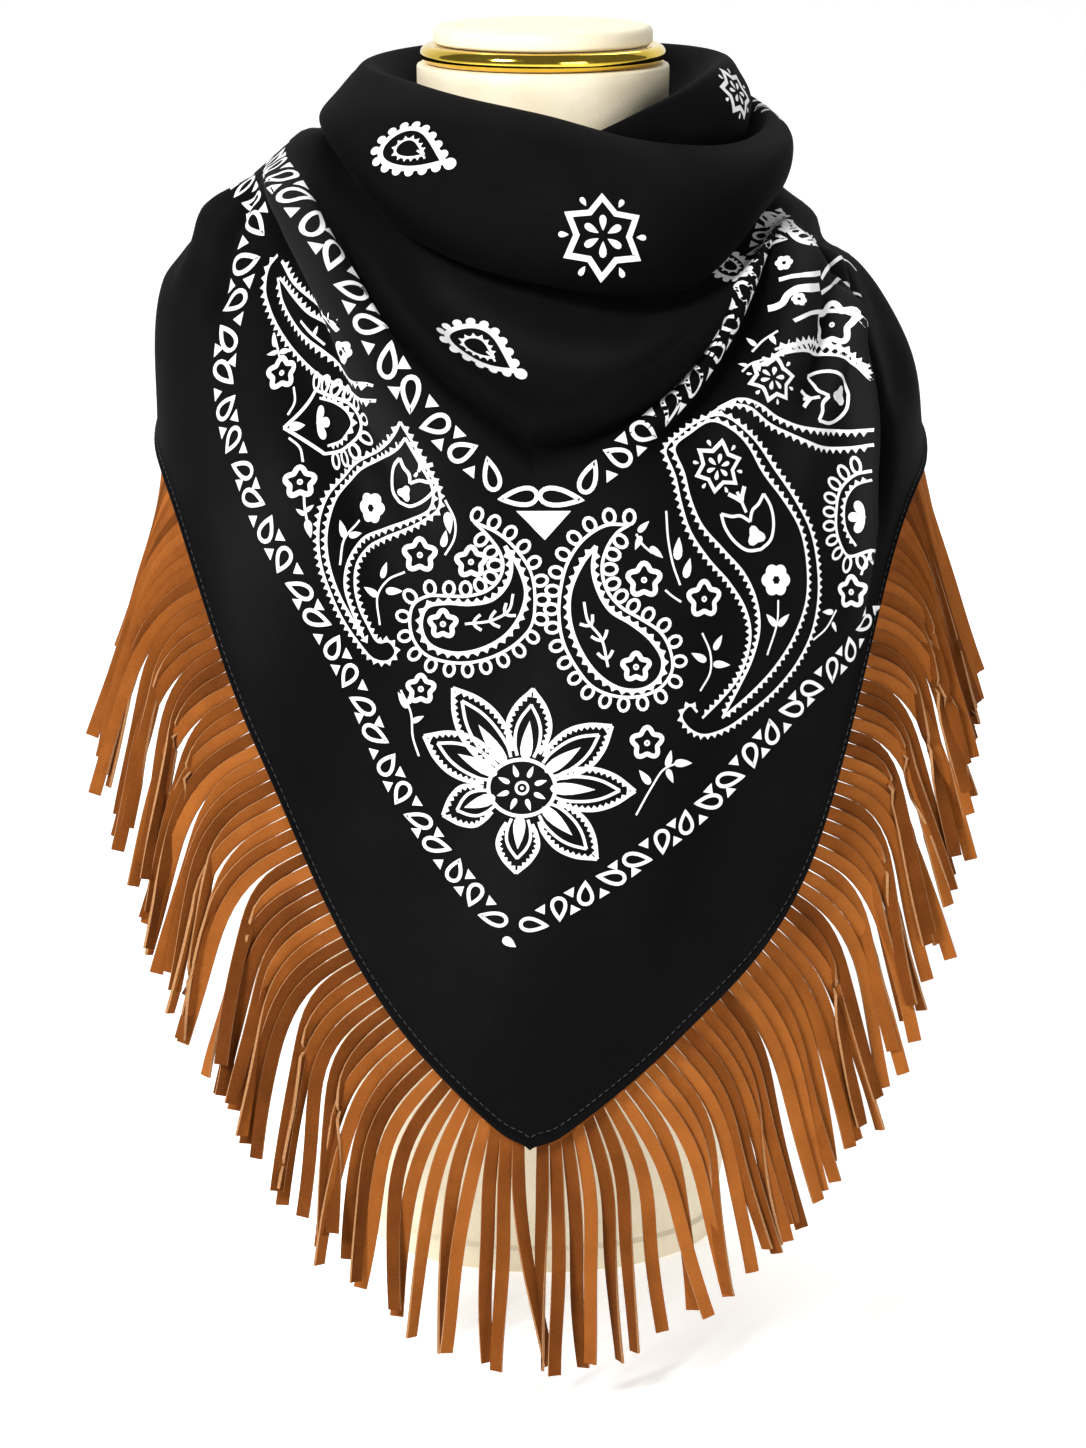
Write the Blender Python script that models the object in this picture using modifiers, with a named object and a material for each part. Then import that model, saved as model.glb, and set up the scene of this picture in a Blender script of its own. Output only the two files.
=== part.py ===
"""A fringed bandana scarf, wound round a limbless neck display form.

Metres, +Z up. The front faces -Y and the origin is on the floor under the form's middle.
Azimuths are in degrees from the front, positive towards +X (the viewer's right).
The tables below are in millimetres, as (radius, height) pairs round the vertical axis.
"""

import math

import bpy
import numpy as np

MM = 0.001
GAP = 0.0003
DOWN = np.array([0.0, 0.0, -1.0])

# --- display form -----------------------------------------------------------------------
NECK_RADIUS = 0.056
NECK_TOP = 0.5587
SPIGOT_RADIUS = 0.0460
RING_CENTRE_RADIUS = 0.0505
RING_TUBE_RADIUS = 0.0040
CAP_RADIUS = 0.0486
CAP_THICKNESS = 0.0080
CAP_EDGE = 0.0028

# Each section of the bust: height, half width, half depth, centre along Y
FORM_SECTIONS = [
    (0, 84, 61, 0),
    (12, 86, 63, 0),
    (14, 84.5, 61.5, 0),
    (40, 88.5, 65, 0),
    (110, 98, 74, -1),
    (200, 114, 88, -3),
    (290, 134, 101, -5),
    (365, 149, 109, -6),
    (415, 150, 105, -5),
    (445, 140, 94, -3),
    (468, 118, 81, -1),
    (486, 90, 70, 0),
    (502, 68, 61.5, 0),
    (518, 59, 57.5, 0),
    (532, 56.4, 56.2, 0),
    (NECK_TOP / MM, NECK_RADIUS / MM, NECK_RADIUS / MM, 0),
]
FORM_SIDES = 36

# --- scarf ------------------------------------------------------------------------------
CLOTH = 0.0016
HEM = 0.0032
DOUBLE_CLOTH = 0.0024
SEAT_GAP = 0.0005

# The front panel, from its hem up to where it tucks in under the cowl. Its two wings go round
# the sides and cross at the nape: END_AZIMUTH is past the back's middle.
END_AZIMUTH = 202
# The point hangs a little to the left of the front: a panel azimuth is counted from there.
POINT_AZIMUTH = -1.7
PANEL_STATIONS = [0, 20, 40, 60, 80, 110, 145, 180, END_AZIMUTH]
PANEL_SECTIONS = {
    "hem": {
        "pointed": True,
        "left": [
            (190, 115), (187, 181), (184, 283), (179, 372), (174, 398),
            (162, 412), (147, 435), (131, 460), (114, 475),
        ],
        "right": [
            (190, 115), (187, 168), (182, 229), (178, 360), (174, 390),
            (161, 408), (149, 434), (142, 463), (132, 484),
        ],
    },
    "border": {
        "pointed": True,
        "left": [
            (185, 209), (181, 280), (173, 366), (165, 428), (171, 457),
            (158, 472), (137, 479), (119, 486), (107, 490),
        ],
        "right": [
            (185, 209), (182, 263), (178, 312), (171, 402), (166, 431),
            (154, 451), (139, 473), (129, 491), (123, 505),
        ],
    },
    "middle": {
        "pointed": True,
        "left": [
            (171, 303), (170, 353), (160, 420), (144, 465), (145, 492),
            (134, 498), (117, 497), (107, 497), (98, 495),
        ],
        "right": [
            (171, 303), (170, 342), (165, 382), (150, 442), (135, 473),
            (128, 485), (119, 494), (114, 506), (111, 514),
        ],
    },
    "inner": {
        "pointed": True,
        "left": [
            (150, 395), (152, 434), (138, 486), (126, 509), (120, 517),
            (114, 515), (104, 509), (97, 502), (91, 500),
        ],
        "right": [
            (150, 395), (149, 423), (134, 457), (120, 488), (117, 494),
            (113, 500), (107, 507), (105, 514), (103, 518),
        ],
    },
    "drape": {
        "left": [
            (138, 441), (136, 459), (123, 488), (110, 514), (104, 528),
            (101, 525), (95, 516), (88, 507), (84, 504),
        ],
        "right": [
            (138, 441), (131, 447), (116, 471), (109, 488), (106, 498),
            (102, 504), (99, 511), (96, 516), (94, 518),
        ],
    },
    "tuck": {
        "left": [
            (96, 481), (94, 488), (90, 500), (88, 509), (84, 514),
            (82, 514), (78, 510), (74, 505), (72, 503),
        ],
        "right": [
            (96, 481), (95, 477), (92, 484), (89, 494), (86, 501),
            (83, 506), (81, 511), (80, 514), (79, 516),
        ],
    },
}
PANEL_SEAT_HEIGHT = 0.513

# The panel's largest folds: a soft ridge (or trough, where the rise is negative) along a line of
# (azimuth, section number from the hem), with its rise and half width in mm
FOLDS = {
    "left ridge": {"line": [(-78, 3.2), (-52, 3.05), (-33, 2.85), (-10, 2.1)], "rise": 6, "wide": 21},
    "left hollow": {"line": [(-70, 2.5), (-50, 2.3), (-32, 2.1), (-19, 1.8)], "rise": -6, "wide": 22},
    "right valley": {"line": [(14, 2.75), (30, 2.7), (46, 2.75), (60, 2.85)], "rise": -6, "wide": 18},
    "right ridge": {"line": [(36, 2.1), (52, 2.35), (72, 2.7)], "rise": 5, "wide": 18},
    "right pleat": {"line": [(52, 1.0), (57, 1.5), (66, 2.0), (80, 2.3)], "rise": 5, "wide": 19},
    "right pleat back": {"line": [(64, 0.8), (74, 1.2), (90, 1.6)], "rise": -4, "wide": 19},
    "left shoulder hollow": {"line": [(-98, 1.9), (-88, 1.4), (-84, 1.1)], "rise": -3, "wide": 28},
}
FOLD_DEGREE, FOLD_SECTION = 0.0028, 0.065
FINE_STEP, FINE_TO, COARSE_COLUMNS = 4.8, 96.0, 12
PANEL_ROWS = {"hem": 2, "border": 3, "middle": 3, "inner": 3, "drape": 2, "tuck": 1}
# The right wing lies over the left one at the nape.
WING_LIFT = 0.0068
WING_LIFT_FROM, WING_LIFT_TO = 105, 150
WING_DROP = 0.005

# The cowl: the outer turn, a rolled collar, from its foot on the neck over the top edge to its lip
COWL_STATIONS = [0, 30, 60, 90, 135, 180]
COWL_SECTIONS = {
    "foot": {
        "left": [(69, 523), (64, 529), (58.7, 535), (58.5, 537), (67, 538), (78, 539)],
        "right": [(69, 523), (77, 511), (88, 509), (93, 511), (93, 527), (78, 539)],
    },
    "inner": {
        "left": [(71, 534), (66, 540), (62, 545), (66, 548), (72, 550), (80, 552)],
        "right": [(71, 534), (79, 523), (89, 519), (95, 521), (94, 536), (80, 552)],
    },
    "top": {
        "left": [(76, 543), (70, 549), (68, 553), (77, 556), (83, 559), (87, 561)],
        "right": [(76, 543), (82, 532), (92, 527), (100, 532), (97, 547), (87, 561)],
    },
    "brow": {
        "left": [(93, 535), (89, 541), (84, 547), (84, 552), (89, 555), (97, 556)],
        "right": [(93, 535), (97, 525), (101, 525), (106, 530), (104, 543), (97, 556)],
    },
    "belly": {
        "left": [(110, 513), (106, 522), (98, 539), (91, 545), (96, 545), (107, 546)],
        "right": [(110, 513), (113, 506), (110, 519), (110, 526), (109, 536), (107, 546)],
    },
    "front": {
        "left": [(118, 493), (113, 507), (104, 533), (97, 538), (101, 533), (110, 533)],
        "right": [(118, 493), (119, 487), (113, 510), (109, 517), (109, 526), (110, 533)],
    },
    "lip": {
        "left": [(117, 480), (110, 496), (102, 526), (95, 534), (98, 526), (107, 522)],
        "right": [(117, 480), (117, 475), (110, 502), (104, 508), (105, 517), (107, 522)],
    },
    "curl": {
        "left": [(112, 482), (105, 500), (97, 529), (90, 537), (93, 529), (102, 525)],
        "right": [(112, 482), (112, 478), (105, 505), (99, 511), (100, 520), (102, 525)],
    },
}
COWL_COLUMNS = 40

# The inner turn: it comes out at the front right, inside the cowl, and runs back round the neck.
TURN_STATIONS = [10, 40, 70, 110, 150, 190]
TURN_SECTIONS = {
    "foot": [(60, 520), (57.6, 533), (57.5, 540), (57.5, 542), (57.5, 542), (58, 542)],
    "inner": [(64, 525), (66, 539), (68, 549), (70, 553), (66, 553), (63, 551)],
    "top": [(69, 530), (75, 546), (78, 557.5), (81, 561), (74, 561), (68, 556)],
    "shoulder": [(70, 525), (78, 540), (85, 551), (87, 554), (80, 555), (71, 551)],
    "belly": [(67, 517), (77, 527), (90, 539), (90, 543), (82, 545), (71, 543)],
    "tail": [(64.5, 515.5), (74, 514), (86, 520), (87, 524), (80, 534), (69, 536)],
}
TURN_COLUMNS = 18

# --- suede fringe -----------------------------------------------------------------------
STRAND_PITCH = 0.0075
STRAND_WIDTH = 0.0060
STRAND_THICKNESS = 0.0013
STRAND_LENGTH = 0.112
STRAND_SEGMENTS = 4
STRAND_LOWEST = 0.004
STRIP_ABOVE_HEM = 0.0065
STRIP_BELOW_HEM = 0.0030
STRIP_GAP = 0.0011
MITRE_GAP = 0.0013
POINT_SPREAD = 0.060
STRAND_CLEARANCE = 0.0009
MOST_SLANT = 0.9
LEAN_NOISE = 0.3
LENGTH_NOISE = 0.025
PATH_STEPS = 40
LEAN_FRONT, LEAN_SIDE, LEAN_BACK = 5, 16, 4
FRINGE_END = {"left": 166, "right": 186}

MATERIALS = {
    "black_cloth": ((0.012, 0.012, 0.013), 0.85, 0.0),
    "brown_suede": ((0.44, 0.16, 0.045), 0.9, 0.0),
    "cream_cover": ((0.80, 0.72, 0.56), 0.5, 0.0),
    "gold": ((0.83, 0.62, 0.12), 0.15, 1.0),
}


def spline(knots, values, at, tangents=None):
    """A smooth curve through values at knots (rows of an array), read at the places in at."""
    knots, values, at = np.asarray(knots, float), np.asarray(values, float), np.asarray(at, float)
    if tangents is None:
        step = np.diff(values, axis=0) / np.diff(knots)[:, None]
        share = (np.diff(knots)[:-1] / (knots[2:] - knots[:-2]))[:, None]
        inside = step[:-1] * (1 - share) + step[1:] * share
        tangents = np.vstack([step[:1], inside, step[-1:]])
    cell = np.clip(np.searchsorted(knots, at, side="right") - 1, 0, len(knots) - 2)
    width = knots[cell + 1] - knots[cell]
    u = ((at - knots[cell]) / width)[:, None]
    width = width[:, None]
    return (
        (2 * u**3 - 3 * u**2 + 1) * values[cell]
        + (u**3 - 2 * u**2 + u) * width * tangents[cell]
        + (3 * u**2 - 2 * u**3) * values[cell + 1]
        + (u**3 - u**2) * width * tangents[cell + 1]
    )


def smoothstep(low, high, value):
    u = np.clip((np.asarray(value, float) - low) / (high - low), 0, 1)
    return u * u * (3 - 2 * u)


def smooth_rows(knots, rows):
    """A grid of points on smooth curves through each column of the knots, read at the rows."""
    flat = knots.reshape(len(knots), -1)
    return spline(np.arange(len(knots)), flat, rows).reshape(len(rows), -1, 3)


def both_sides(section, stations, azimuths):
    """(radius, height) in metres at each azimuth, of a section with a left and a right half."""
    left, right = (np.array(section[side], float) * MM for side in ("left", "right"))
    if section.get("pointed"):
        azimuths = azimuths - POINT_AZIMUTH
        out = spline(stations, left, np.abs(azimuths))
        out[azimuths > 0] = spline(stations, right, azimuths[azimuths > 0])
        return out
    around = np.concatenate([-np.array(stations[:0:-1], float), np.array(stations, float)])
    return spline(around, np.vstack([left[:0:-1], right]), azimuths)


def polar(azimuths, radii, heights):
    turn = np.radians(azimuths)
    return np.stack([radii * np.sin(turn), -radii * np.cos(turn), heights], axis=-1)


def form_section(height):
    """Half width, half depth and centre of the bust at a height, in metres."""
    table = np.array(FORM_SECTIONS) * MM
    return [float(np.interp(height, table[:, 0], table[:, k])) for k in (1, 2, 3)]


def form_radius(azimuths, height):
    wide, deep, centre = form_section(height)
    turn = np.radians(azimuths)
    return 1 / np.sqrt((np.sin(turn) / wide) ** 2 + (np.cos(turn) / deep) ** 2) - centre * np.cos(turn)


def wing_lift(azimuths):
    return WING_LIFT * smoothstep(WING_LIFT_FROM, WING_LIFT_TO, azimuths)


def panel_knots(azimuths):
    """The panel's sections, one row each, from the hem to the seat on the neck."""
    rows = []
    for section in PANEL_SECTIONS.values():
        pair = both_sides(section, PANEL_STATIONS, azimuths)
        rows.append(polar(azimuths, pair[:, 0] + wing_lift(azimuths), pair[:, 1]))
    height = PANEL_SEAT_HEIGHT - WING_DROP * smoothstep(WING_LIFT_FROM, WING_LIFT_TO, -azimuths)
    seat = np.array([form_radius(a, h - CLOTH) for a, h in zip(azimuths, height)])
    rows.append(polar(azimuths, seat + SEAT_GAP + CLOTH / 2 + wing_lift(azimuths), height))
    return np.array(rows)


def along_line(line, azimuths, rows):
    """Distance from each place of a grid to a fold's line, and how far along it lies, 0 to 1."""
    spread = np.array([FOLD_DEGREE, FOLD_SECTION])
    line = np.array(line, float) * spread
    places = np.stack(np.meshgrid(azimuths, rows), axis=-1) * spread
    lengths = np.linalg.norm(np.diff(line, axis=0), axis=1)
    nearest = np.full(places.shape[:2], np.inf)
    share = np.zeros(places.shape[:2])
    for index, (start, end) in enumerate(zip(line, line[1:])):
        way = (end - start) / lengths[index]
        along = np.clip((places - start) @ way, 0, lengths[index])
        away = np.linalg.norm(places - start - along[..., None] * way, axis=-1)
        closer = away < nearest
        nearest[closer] = away[closer]
        share[closer] = (lengths[:index].sum() + along[closer]) / lengths.sum()
    return nearest, share


def fold_rise(azimuths, rows):
    """How far the folds lift each place of the grid along its normal, in metres."""
    rise = np.zeros((len(rows), len(azimuths)))
    for fold in FOLDS.values():
        away, share = along_line(fold["line"], azimuths, rows)
        ends = smoothstep(0, 0.3, share) * smoothstep(0, 0.3, 1 - share)
        rise += fold["rise"] * MM * ends * np.exp(-((away / (fold["wide"] * MM)) ** 2))
    return rise


def panel_point(azimuths, rows):
    """The panel's middle surface as a grid: rows counts sections from the hem, 0 to 6."""
    rows = np.asarray(rows, float)
    points = smooth_rows(panel_knots(azimuths), rows)
    across = smooth_rows(panel_knots(azimuths + 1), rows) - smooth_rows(panel_knots(azimuths - 1), rows)
    up = smooth_rows(panel_knots(azimuths), rows + 0.05) - smooth_rows(panel_knots(azimuths), rows - 0.05)
    outward = np.cross(across, up)
    outward /= np.linalg.norm(outward, axis=-1, keepdims=True)
    return points + outward * fold_rise(azimuths, rows)[..., None]


def grid_normals(points, closed):
    """Unit normals of a grid of points, rows by columns, along column step cross row step."""
    across = (
        np.roll(points, -1, axis=1) - np.roll(points, 1, axis=1) if closed else np.gradient(points, axis=1)
    )
    up = np.gradient(points, axis=0)
    normal = np.cross(across, up)
    return normal / np.linalg.norm(normal, axis=-1, keepdims=True)


def walled(points, thickness, closed):
    """Vertices and faces of a closed wall on both sides of a grid of points."""
    rows, columns = points.shape[:2]
    half = grid_normals(points, closed) * np.asarray(thickness).reshape(-1, 1, 1) / 2
    vertices = np.concatenate([(points + half).reshape(-1, 3), (points - half).reshape(-1, 3)])
    back = rows * columns

    def at(row, column):
        return row * columns + column % columns

    faces = []
    for row in range(rows - 1):
        for column in range(columns if closed else columns - 1):
            quad = [at(row, column), at(row, column + 1), at(row + 1, column + 1), at(row + 1, column)]
            faces.append(quad)
            faces.append([back + corner for corner in reversed(quad)])
    for column in range(columns if closed else columns - 1):
        low, high = (at(0, column), at(0, column + 1)), (at(rows - 1, column), at(rows - 1, column + 1))
        faces.append([low[1], low[0], back + low[0], back + low[1]])
        faces.append([high[0], high[1], back + high[1], back + high[0]])
    if not closed:
        for row in range(rows - 1):
            first, last = (at(row, 0), at(row + 1, 0)), (at(row, columns - 1), at(row + 1, columns - 1))
            faces.append([first[0], first[1], back + first[1], back + first[0]])
            faces.append([last[1], last[0], back + last[0], back + last[1]])
    return vertices, faces


def material(name):
    colour, roughness, metallic = MATERIALS[name]
    made = bpy.data.materials.get(name) or bpy.data.materials.new(name)
    made.use_nodes = True
    made.diffuse_color = (*colour, 1)
    shader = made.node_tree.nodes["Principled BSDF"]
    shader.inputs["Base Color"].default_value = (*colour, 1)
    shader.inputs["Roughness"].default_value = roughness
    shader.inputs["Metallic"].default_value = metallic
    return made


def add_mesh(name, vertices, faces, material_name, collection):
    mesh = bpy.data.meshes.new(name)
    mesh.from_pydata([tuple(map(float, v)) for v in vertices], [], faces)
    mesh.materials.append(material(material_name))
    mesh.shade_smooth()
    mesh.set_sharp_from_angle(angle=math.radians(50))
    piece = bpy.data.objects.new(name, mesh)
    collection.objects.link(piece)
    return piece


def make_bust(collection):
    """Oval sections from the base to the neck, with a spigot inside the ring that carries the cap."""
    turn = np.arange(FORM_SIDES) * 2 * math.pi / FORM_SIDES
    sections = [tuple(value * MM for value in row) for row in FORM_SECTIONS]
    spigot_top = NECK_TOP + 2 * RING_TUBE_RADIUS
    sections += [(NECK_TOP, SPIGOT_RADIUS, SPIGOT_RADIUS, 0), (spigot_top, SPIGOT_RADIUS, SPIGOT_RADIUS, 0)]
    vertices = [
        (wide * math.sin(t), centre - deep * math.cos(t), height)
        for height, wide, deep, centre in sections
        for t in turn
    ]
    faces = [list(range(FORM_SIDES - 1, -1, -1))]
    for row in range(len(sections) - 1):
        for side in range(FORM_SIDES):
            a, b = row * FORM_SIDES + side, row * FORM_SIDES + (side + 1) % FORM_SIDES
            faces.append([a, b, b + FORM_SIDES, a + FORM_SIDES])
    faces.append([(len(sections) - 1) * FORM_SIDES + side for side in range(FORM_SIDES)])
    return add_mesh("form_bust", vertices, faces, "cream_cover", collection)


def make_ring(collection):
    centre_height = NECK_TOP + GAP + RING_TUBE_RADIUS
    bpy.ops.mesh.primitive_torus_add(
        major_radius=RING_CENTRE_RADIUS,
        minor_radius=RING_TUBE_RADIUS,
        major_segments=40,
        minor_segments=8,
        location=(0, 0, centre_height),
    )
    ring = bpy.context.object
    ring.name = ring.data.name = "form_ring"
    ring.data.materials.append(material("gold"))
    ring.data.shade_smooth()
    move_to(ring, collection)


def make_cap(collection):
    bottom = NECK_TOP + 2 * RING_TUBE_RADIUS + 2 * GAP
    bpy.ops.mesh.primitive_cylinder_add(
        vertices=44, radius=CAP_RADIUS, depth=CAP_THICKNESS, location=(0, 0, bottom + CAP_THICKNESS / 2)
    )
    cap = bpy.context.object
    cap.name = cap.data.name = "form_cap"
    cap.data.materials.append(material("cream_cover"))
    edge = cap.modifiers.new("rounded edge", "BEVEL")
    edge.width = CAP_EDGE
    edge.segments = 2
    edge.limit_method = "ANGLE"
    move_to(cap, collection)


def move_to(piece, collection):
    for other in list(piece.users_collection):
        other.objects.unlink(piece)
    collection.objects.link(piece)


def make_panel(collection):
    """The front triangle and its wings: one wall, thicker at its rolled hem."""
    front = np.arange(0, FINE_TO, FINE_STEP)
    half = np.concatenate([front, np.linspace(FINE_TO, END_AZIMUTH, COARSE_COLUMNS)])
    azimuths = POINT_AZIMUTH + np.concatenate([-half[:0:-1], half])
    hem_share = 0.09
    rows, thickness = [0.0, hem_share], [HEM, HEM]
    for index, count in enumerate(PANEL_ROWS.values()):
        start = index if index else hem_share
        for step in range(count):
            rows.append(start + (index + 1 - start) * (step + 1) / count)
            thickness.append(CLOTH)
    rows.insert(2, hem_share + 0.02)
    thickness.insert(2, CLOTH)
    vertices, faces = walled(panel_point(azimuths, np.array(rows)), thickness, closed=False)
    return add_mesh("scarf_front", vertices, faces, "black_cloth", collection)


def make_cowl(collection):
    azimuths = -180 + np.arange(COWL_COLUMNS) * 360 / COWL_COLUMNS
    knots = []
    for section in COWL_SECTIONS.values():
        pair = both_sides(section, COWL_STATIONS, azimuths)
        knots.append(polar(azimuths, pair[:, 0], pair[:, 1]))
    knots = np.array(knots)
    points = smooth_rows(knots, [0, 1, 1.5, 2, 2.5, 3, 4, 5, 6, 7])
    vertices, faces = walled(points, np.full(len(points), DOUBLE_CLOTH), closed=True)
    return add_mesh("scarf_cowl", vertices, faces, "black_cloth", collection)


def make_turn(collection):
    azimuths = np.linspace(TURN_STATIONS[0], TURN_STATIONS[-1], TURN_COLUMNS)
    knots = []
    for section in TURN_SECTIONS.values():
        pair = spline(TURN_STATIONS, np.array(section, float) * MM, azimuths)
        knots.append(polar(azimuths, pair[:, 0], pair[:, 1]))
    points = smooth_rows(np.array(knots), [0, 1, 1.5, 2, 2.5, 3, 4, 5])
    vertices, faces = walled(points, np.full(len(points), CLOTH), closed=False)
    return add_mesh("scarf_inner_turn", vertices, faces, "black_cloth", collection)


def hem_frame(side):
    """Azimuths, points, ways along, normals and ways out of the cloth, half a pitch apart on a hem."""
    sign = -1 if side == "left" else 1
    fine = np.linspace(0, FRINGE_END[side], 600)
    edge = panel_point(POINT_AZIMUTH + sign * fine, np.array([0.0, 0.06]))
    length = np.concatenate([[0], np.cumsum(np.linalg.norm(np.diff(edge[0], axis=0), axis=1))])
    half = STRAND_PITCH / 2
    at = np.arange(half, length[-1] - half, half)
    azimuths = np.interp(at, length, fine)
    edge = panel_point(POINT_AZIMUTH + sign * azimuths, np.array([0.0, 0.06]))
    along = np.gradient(edge[0], axis=0)
    along /= np.linalg.norm(along, axis=1, keepdims=True)
    up = edge[1] - edge[0]
    normal = np.cross(along, up) * sign
    normal /= np.linalg.norm(normal, axis=1, keepdims=True)
    out = np.cross(normal, along) * sign
    out *= -np.sign((out * up).sum(1, keepdims=True))
    # at the point the strands leave straight down, further on square to the hem
    square = smoothstep(0, POINT_SPREAD, at)[:, None]
    down = out * square + DOWN * (1 - square)
    down -= normal * (down * normal).sum(1, keepdims=True)
    return azimuths, edge[0], along, normal, out, down / np.linalg.norm(down, axis=1, keepdims=True)


def strand_noise(index, salt):
    """A number from -1 to 1 that is always the same for a strand."""
    return 2 * ((math.sin(index * 12.9898 + salt * 78.233) * 43758.5453) % 1) - 1


def strand_path(root, out, normal, azimuth, sign, index):
    """Rings down a strand's middle: their places, the way it runs and the way its flat side faces."""
    turn = math.radians(azimuth)
    radial = np.array([sign * math.sin(turn), -math.cos(turn), 0])
    lean = LEAN_FRONT + (LEAN_SIDE - LEAN_FRONT) * smoothstep(4, 38, azimuth)
    lean += (LEAN_BACK - LEAN_SIDE) * smoothstep(80, 110, azimuth)
    rest = radial * math.tan(math.radians(float(lean) + LEAN_NOISE * strand_noise(index, 1))) + DOWN
    rest /= np.linalg.norm(rest)
    length = STRAND_LENGTH * (1 + LENGTH_NOISE * strand_noise(index, 2))
    fine = np.linspace(0, 1, PATH_STEPS + 1)
    bend = smoothstep(0.02, 0.46, fine)[:, None]
    ways = out * (1 - bend) + rest * bend
    ways /= np.linalg.norm(ways, axis=1, keepdims=True)
    points = root + np.vstack([np.zeros(3), np.cumsum(ways[:-1], axis=0)]) * length / PATH_STEPS
    drop, room = points[0, 2] - points[-1, 2], points[0, 2] - STRAND_LOWEST
    if drop > room:
        points = points[0] + (points - points[0]) * room / drop
    steps = np.linspace(0, 1, STRAND_SEGMENTS + 1) ** 1.15
    place = np.stack([np.interp(steps, fine, points[:, k]) for k in range(3)], axis=1)
    facing = np.stack([np.interp(steps, fine, ways[:, k]) for k in range(3)], axis=1)
    blend = smoothstep(0, 0.4, steps)[:, None]
    flat = normal * (1 - blend) + radial * blend
    flat -= facing * (flat * facing).sum(1, keepdims=True)
    return place, facing, flat / np.linalg.norm(flat, axis=1, keepdims=True)


def strand_paths(azimuths, centre, along, normal, out, down, sign):
    """Every strand's rings. Neighbours hang closer than they are wide where the hem is steep, so
    each is turned like a slat, with the one from higher up the hem outside the one below it."""
    numbers = np.arange(1, len(centre) - 1, 2)
    roots = centre + out * STRIP_BELOW_HEM
    rings = [
        strand_path(roots[n], down[n], normal[n], azimuths[n], sign, index) for index, n in enumerate(numbers)
    ]
    place, facing, flat = (np.array([ring[k] for ring in rings]) for k in range(3))
    apart = np.gradient(place, axis=0)
    apart -= facing * (apart * facing).sum(-1, keepdims=True)
    aside = np.cross(flat, facing)
    aside *= np.sign((aside * along[numbers][:, None]).sum(-1, keepdims=True))
    spacing = np.linalg.norm(apart, axis=-1)
    clear = np.arcsin(np.clip((STRAND_THICKNESS + STRAND_CLEARANCE) / spacing, 0, MOST_SLANT))
    turned = clear - np.arctan2((apart * flat).sum(-1), (apart * aside).sum(-1))
    turned = np.maximum(turned, 0) * smoothstep(0, 0.12, np.linspace(0, 1, STRAND_SEGMENTS + 1) ** 1.15)
    flat = flat * np.cos(turned)[..., None] + aside * np.sin(turned)[..., None]
    return numbers, place, facing, flat


def make_fringe(side, collection):
    """A comb: a strip behind the hem, and a strand drawn out of each of its lower edge's wide cells."""
    sign = -1 if side == "left" else 1
    azimuths, edge, along, normal, out, down = hem_frame(side)
    centre = edge - normal * (HEM / 2 + STRIP_GAP + STRAND_THICKNESS / 2)
    numbers, place, facing, flat = strand_paths(azimuths, centre, along, normal, out, down, sign)
    vertices, faces, rings = [], [], []
    for number in numbers:
        half = normal[number] * STRAND_THICKNESS / 2
        for shift in (-STRAND_WIDTH / 2, STRAND_WIDTH / 2):
            middle = centre[number] + along[number] * shift
            # the two strips are mitred where they meet, under the scarf's point
            above = min(STRIP_ABOVE_HEM, number * STRAND_PITCH / 2 + shift - MITRE_GAP)
            top, low = middle - out[number] * above, middle + out[number] * STRIP_BELOW_HEM
            rings.append([len(vertices) + corner for corner in range(4)])
            vertices += [top + half, low + half, low - half, top - half]
    for index, (here, there) in enumerate(zip(rings, rings[1:])):
        for corner in range(4):
            drawn_out = corner == 1 and index % 2 == 0
            if not drawn_out:
                following = (corner + 1) % 4
                faces.append([here[corner], here[following], there[following], there[corner]])
    faces.append(list(reversed(rings[0])))
    faces.append(rings[-1])
    for index, number in enumerate(numbers):
        first, second = rings[2 * index], rings[2 * index + 1]
        before = [first[1], first[2], second[2], second[1]]
        for point, way, face in zip(place[index, 1:], facing[index, 1:], flat[index, 1:]):
            wide = np.cross(face, way)
            wide *= np.sign((wide * along[number]).sum()) * STRAND_WIDTH / 2
            half = face * STRAND_THICKNESS / 2
            after = [len(vertices) + corner for corner in range(4)]
            vertices += [point - wide + half, point - wide - half, point + wide - half, point + wide + half]
            for corner in range(4):
                following = (corner + 1) % 4
                faces.append([before[corner], before[following], after[following], after[corner]])
            before = after
        faces.append(before)
    if side == "left":
        faces = [list(reversed(face)) for face in faces]
    return add_mesh(f"fringe_{side}", vertices, faces, "brown_suede", collection)


def main():
    for piece in list(bpy.data.objects):
        bpy.data.objects.remove(piece)
    collection = bpy.data.collections.new("fringed scarf on a display form")
    bpy.context.scene.collection.children.link(collection)
    make_bust(collection)
    make_ring(collection)
    make_cap(collection)
    make_panel(collection)
    make_cowl(collection)
    make_turn(collection)
    for side in ("left", "right"):
        make_fringe(side, collection)


main()
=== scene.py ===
"""Looks of the fringed scarf on its neck display form.

Metres in the part's own frame: +Z up, the front faces -Y. Azimuths are degrees from the front,
positive towards +X. Tables are in millimetres. Places in the photograph are in its pixels.
"""

import math

import bpy
import numpy as np
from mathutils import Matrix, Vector
from mathutils.bvhtree import BVHTree


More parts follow.
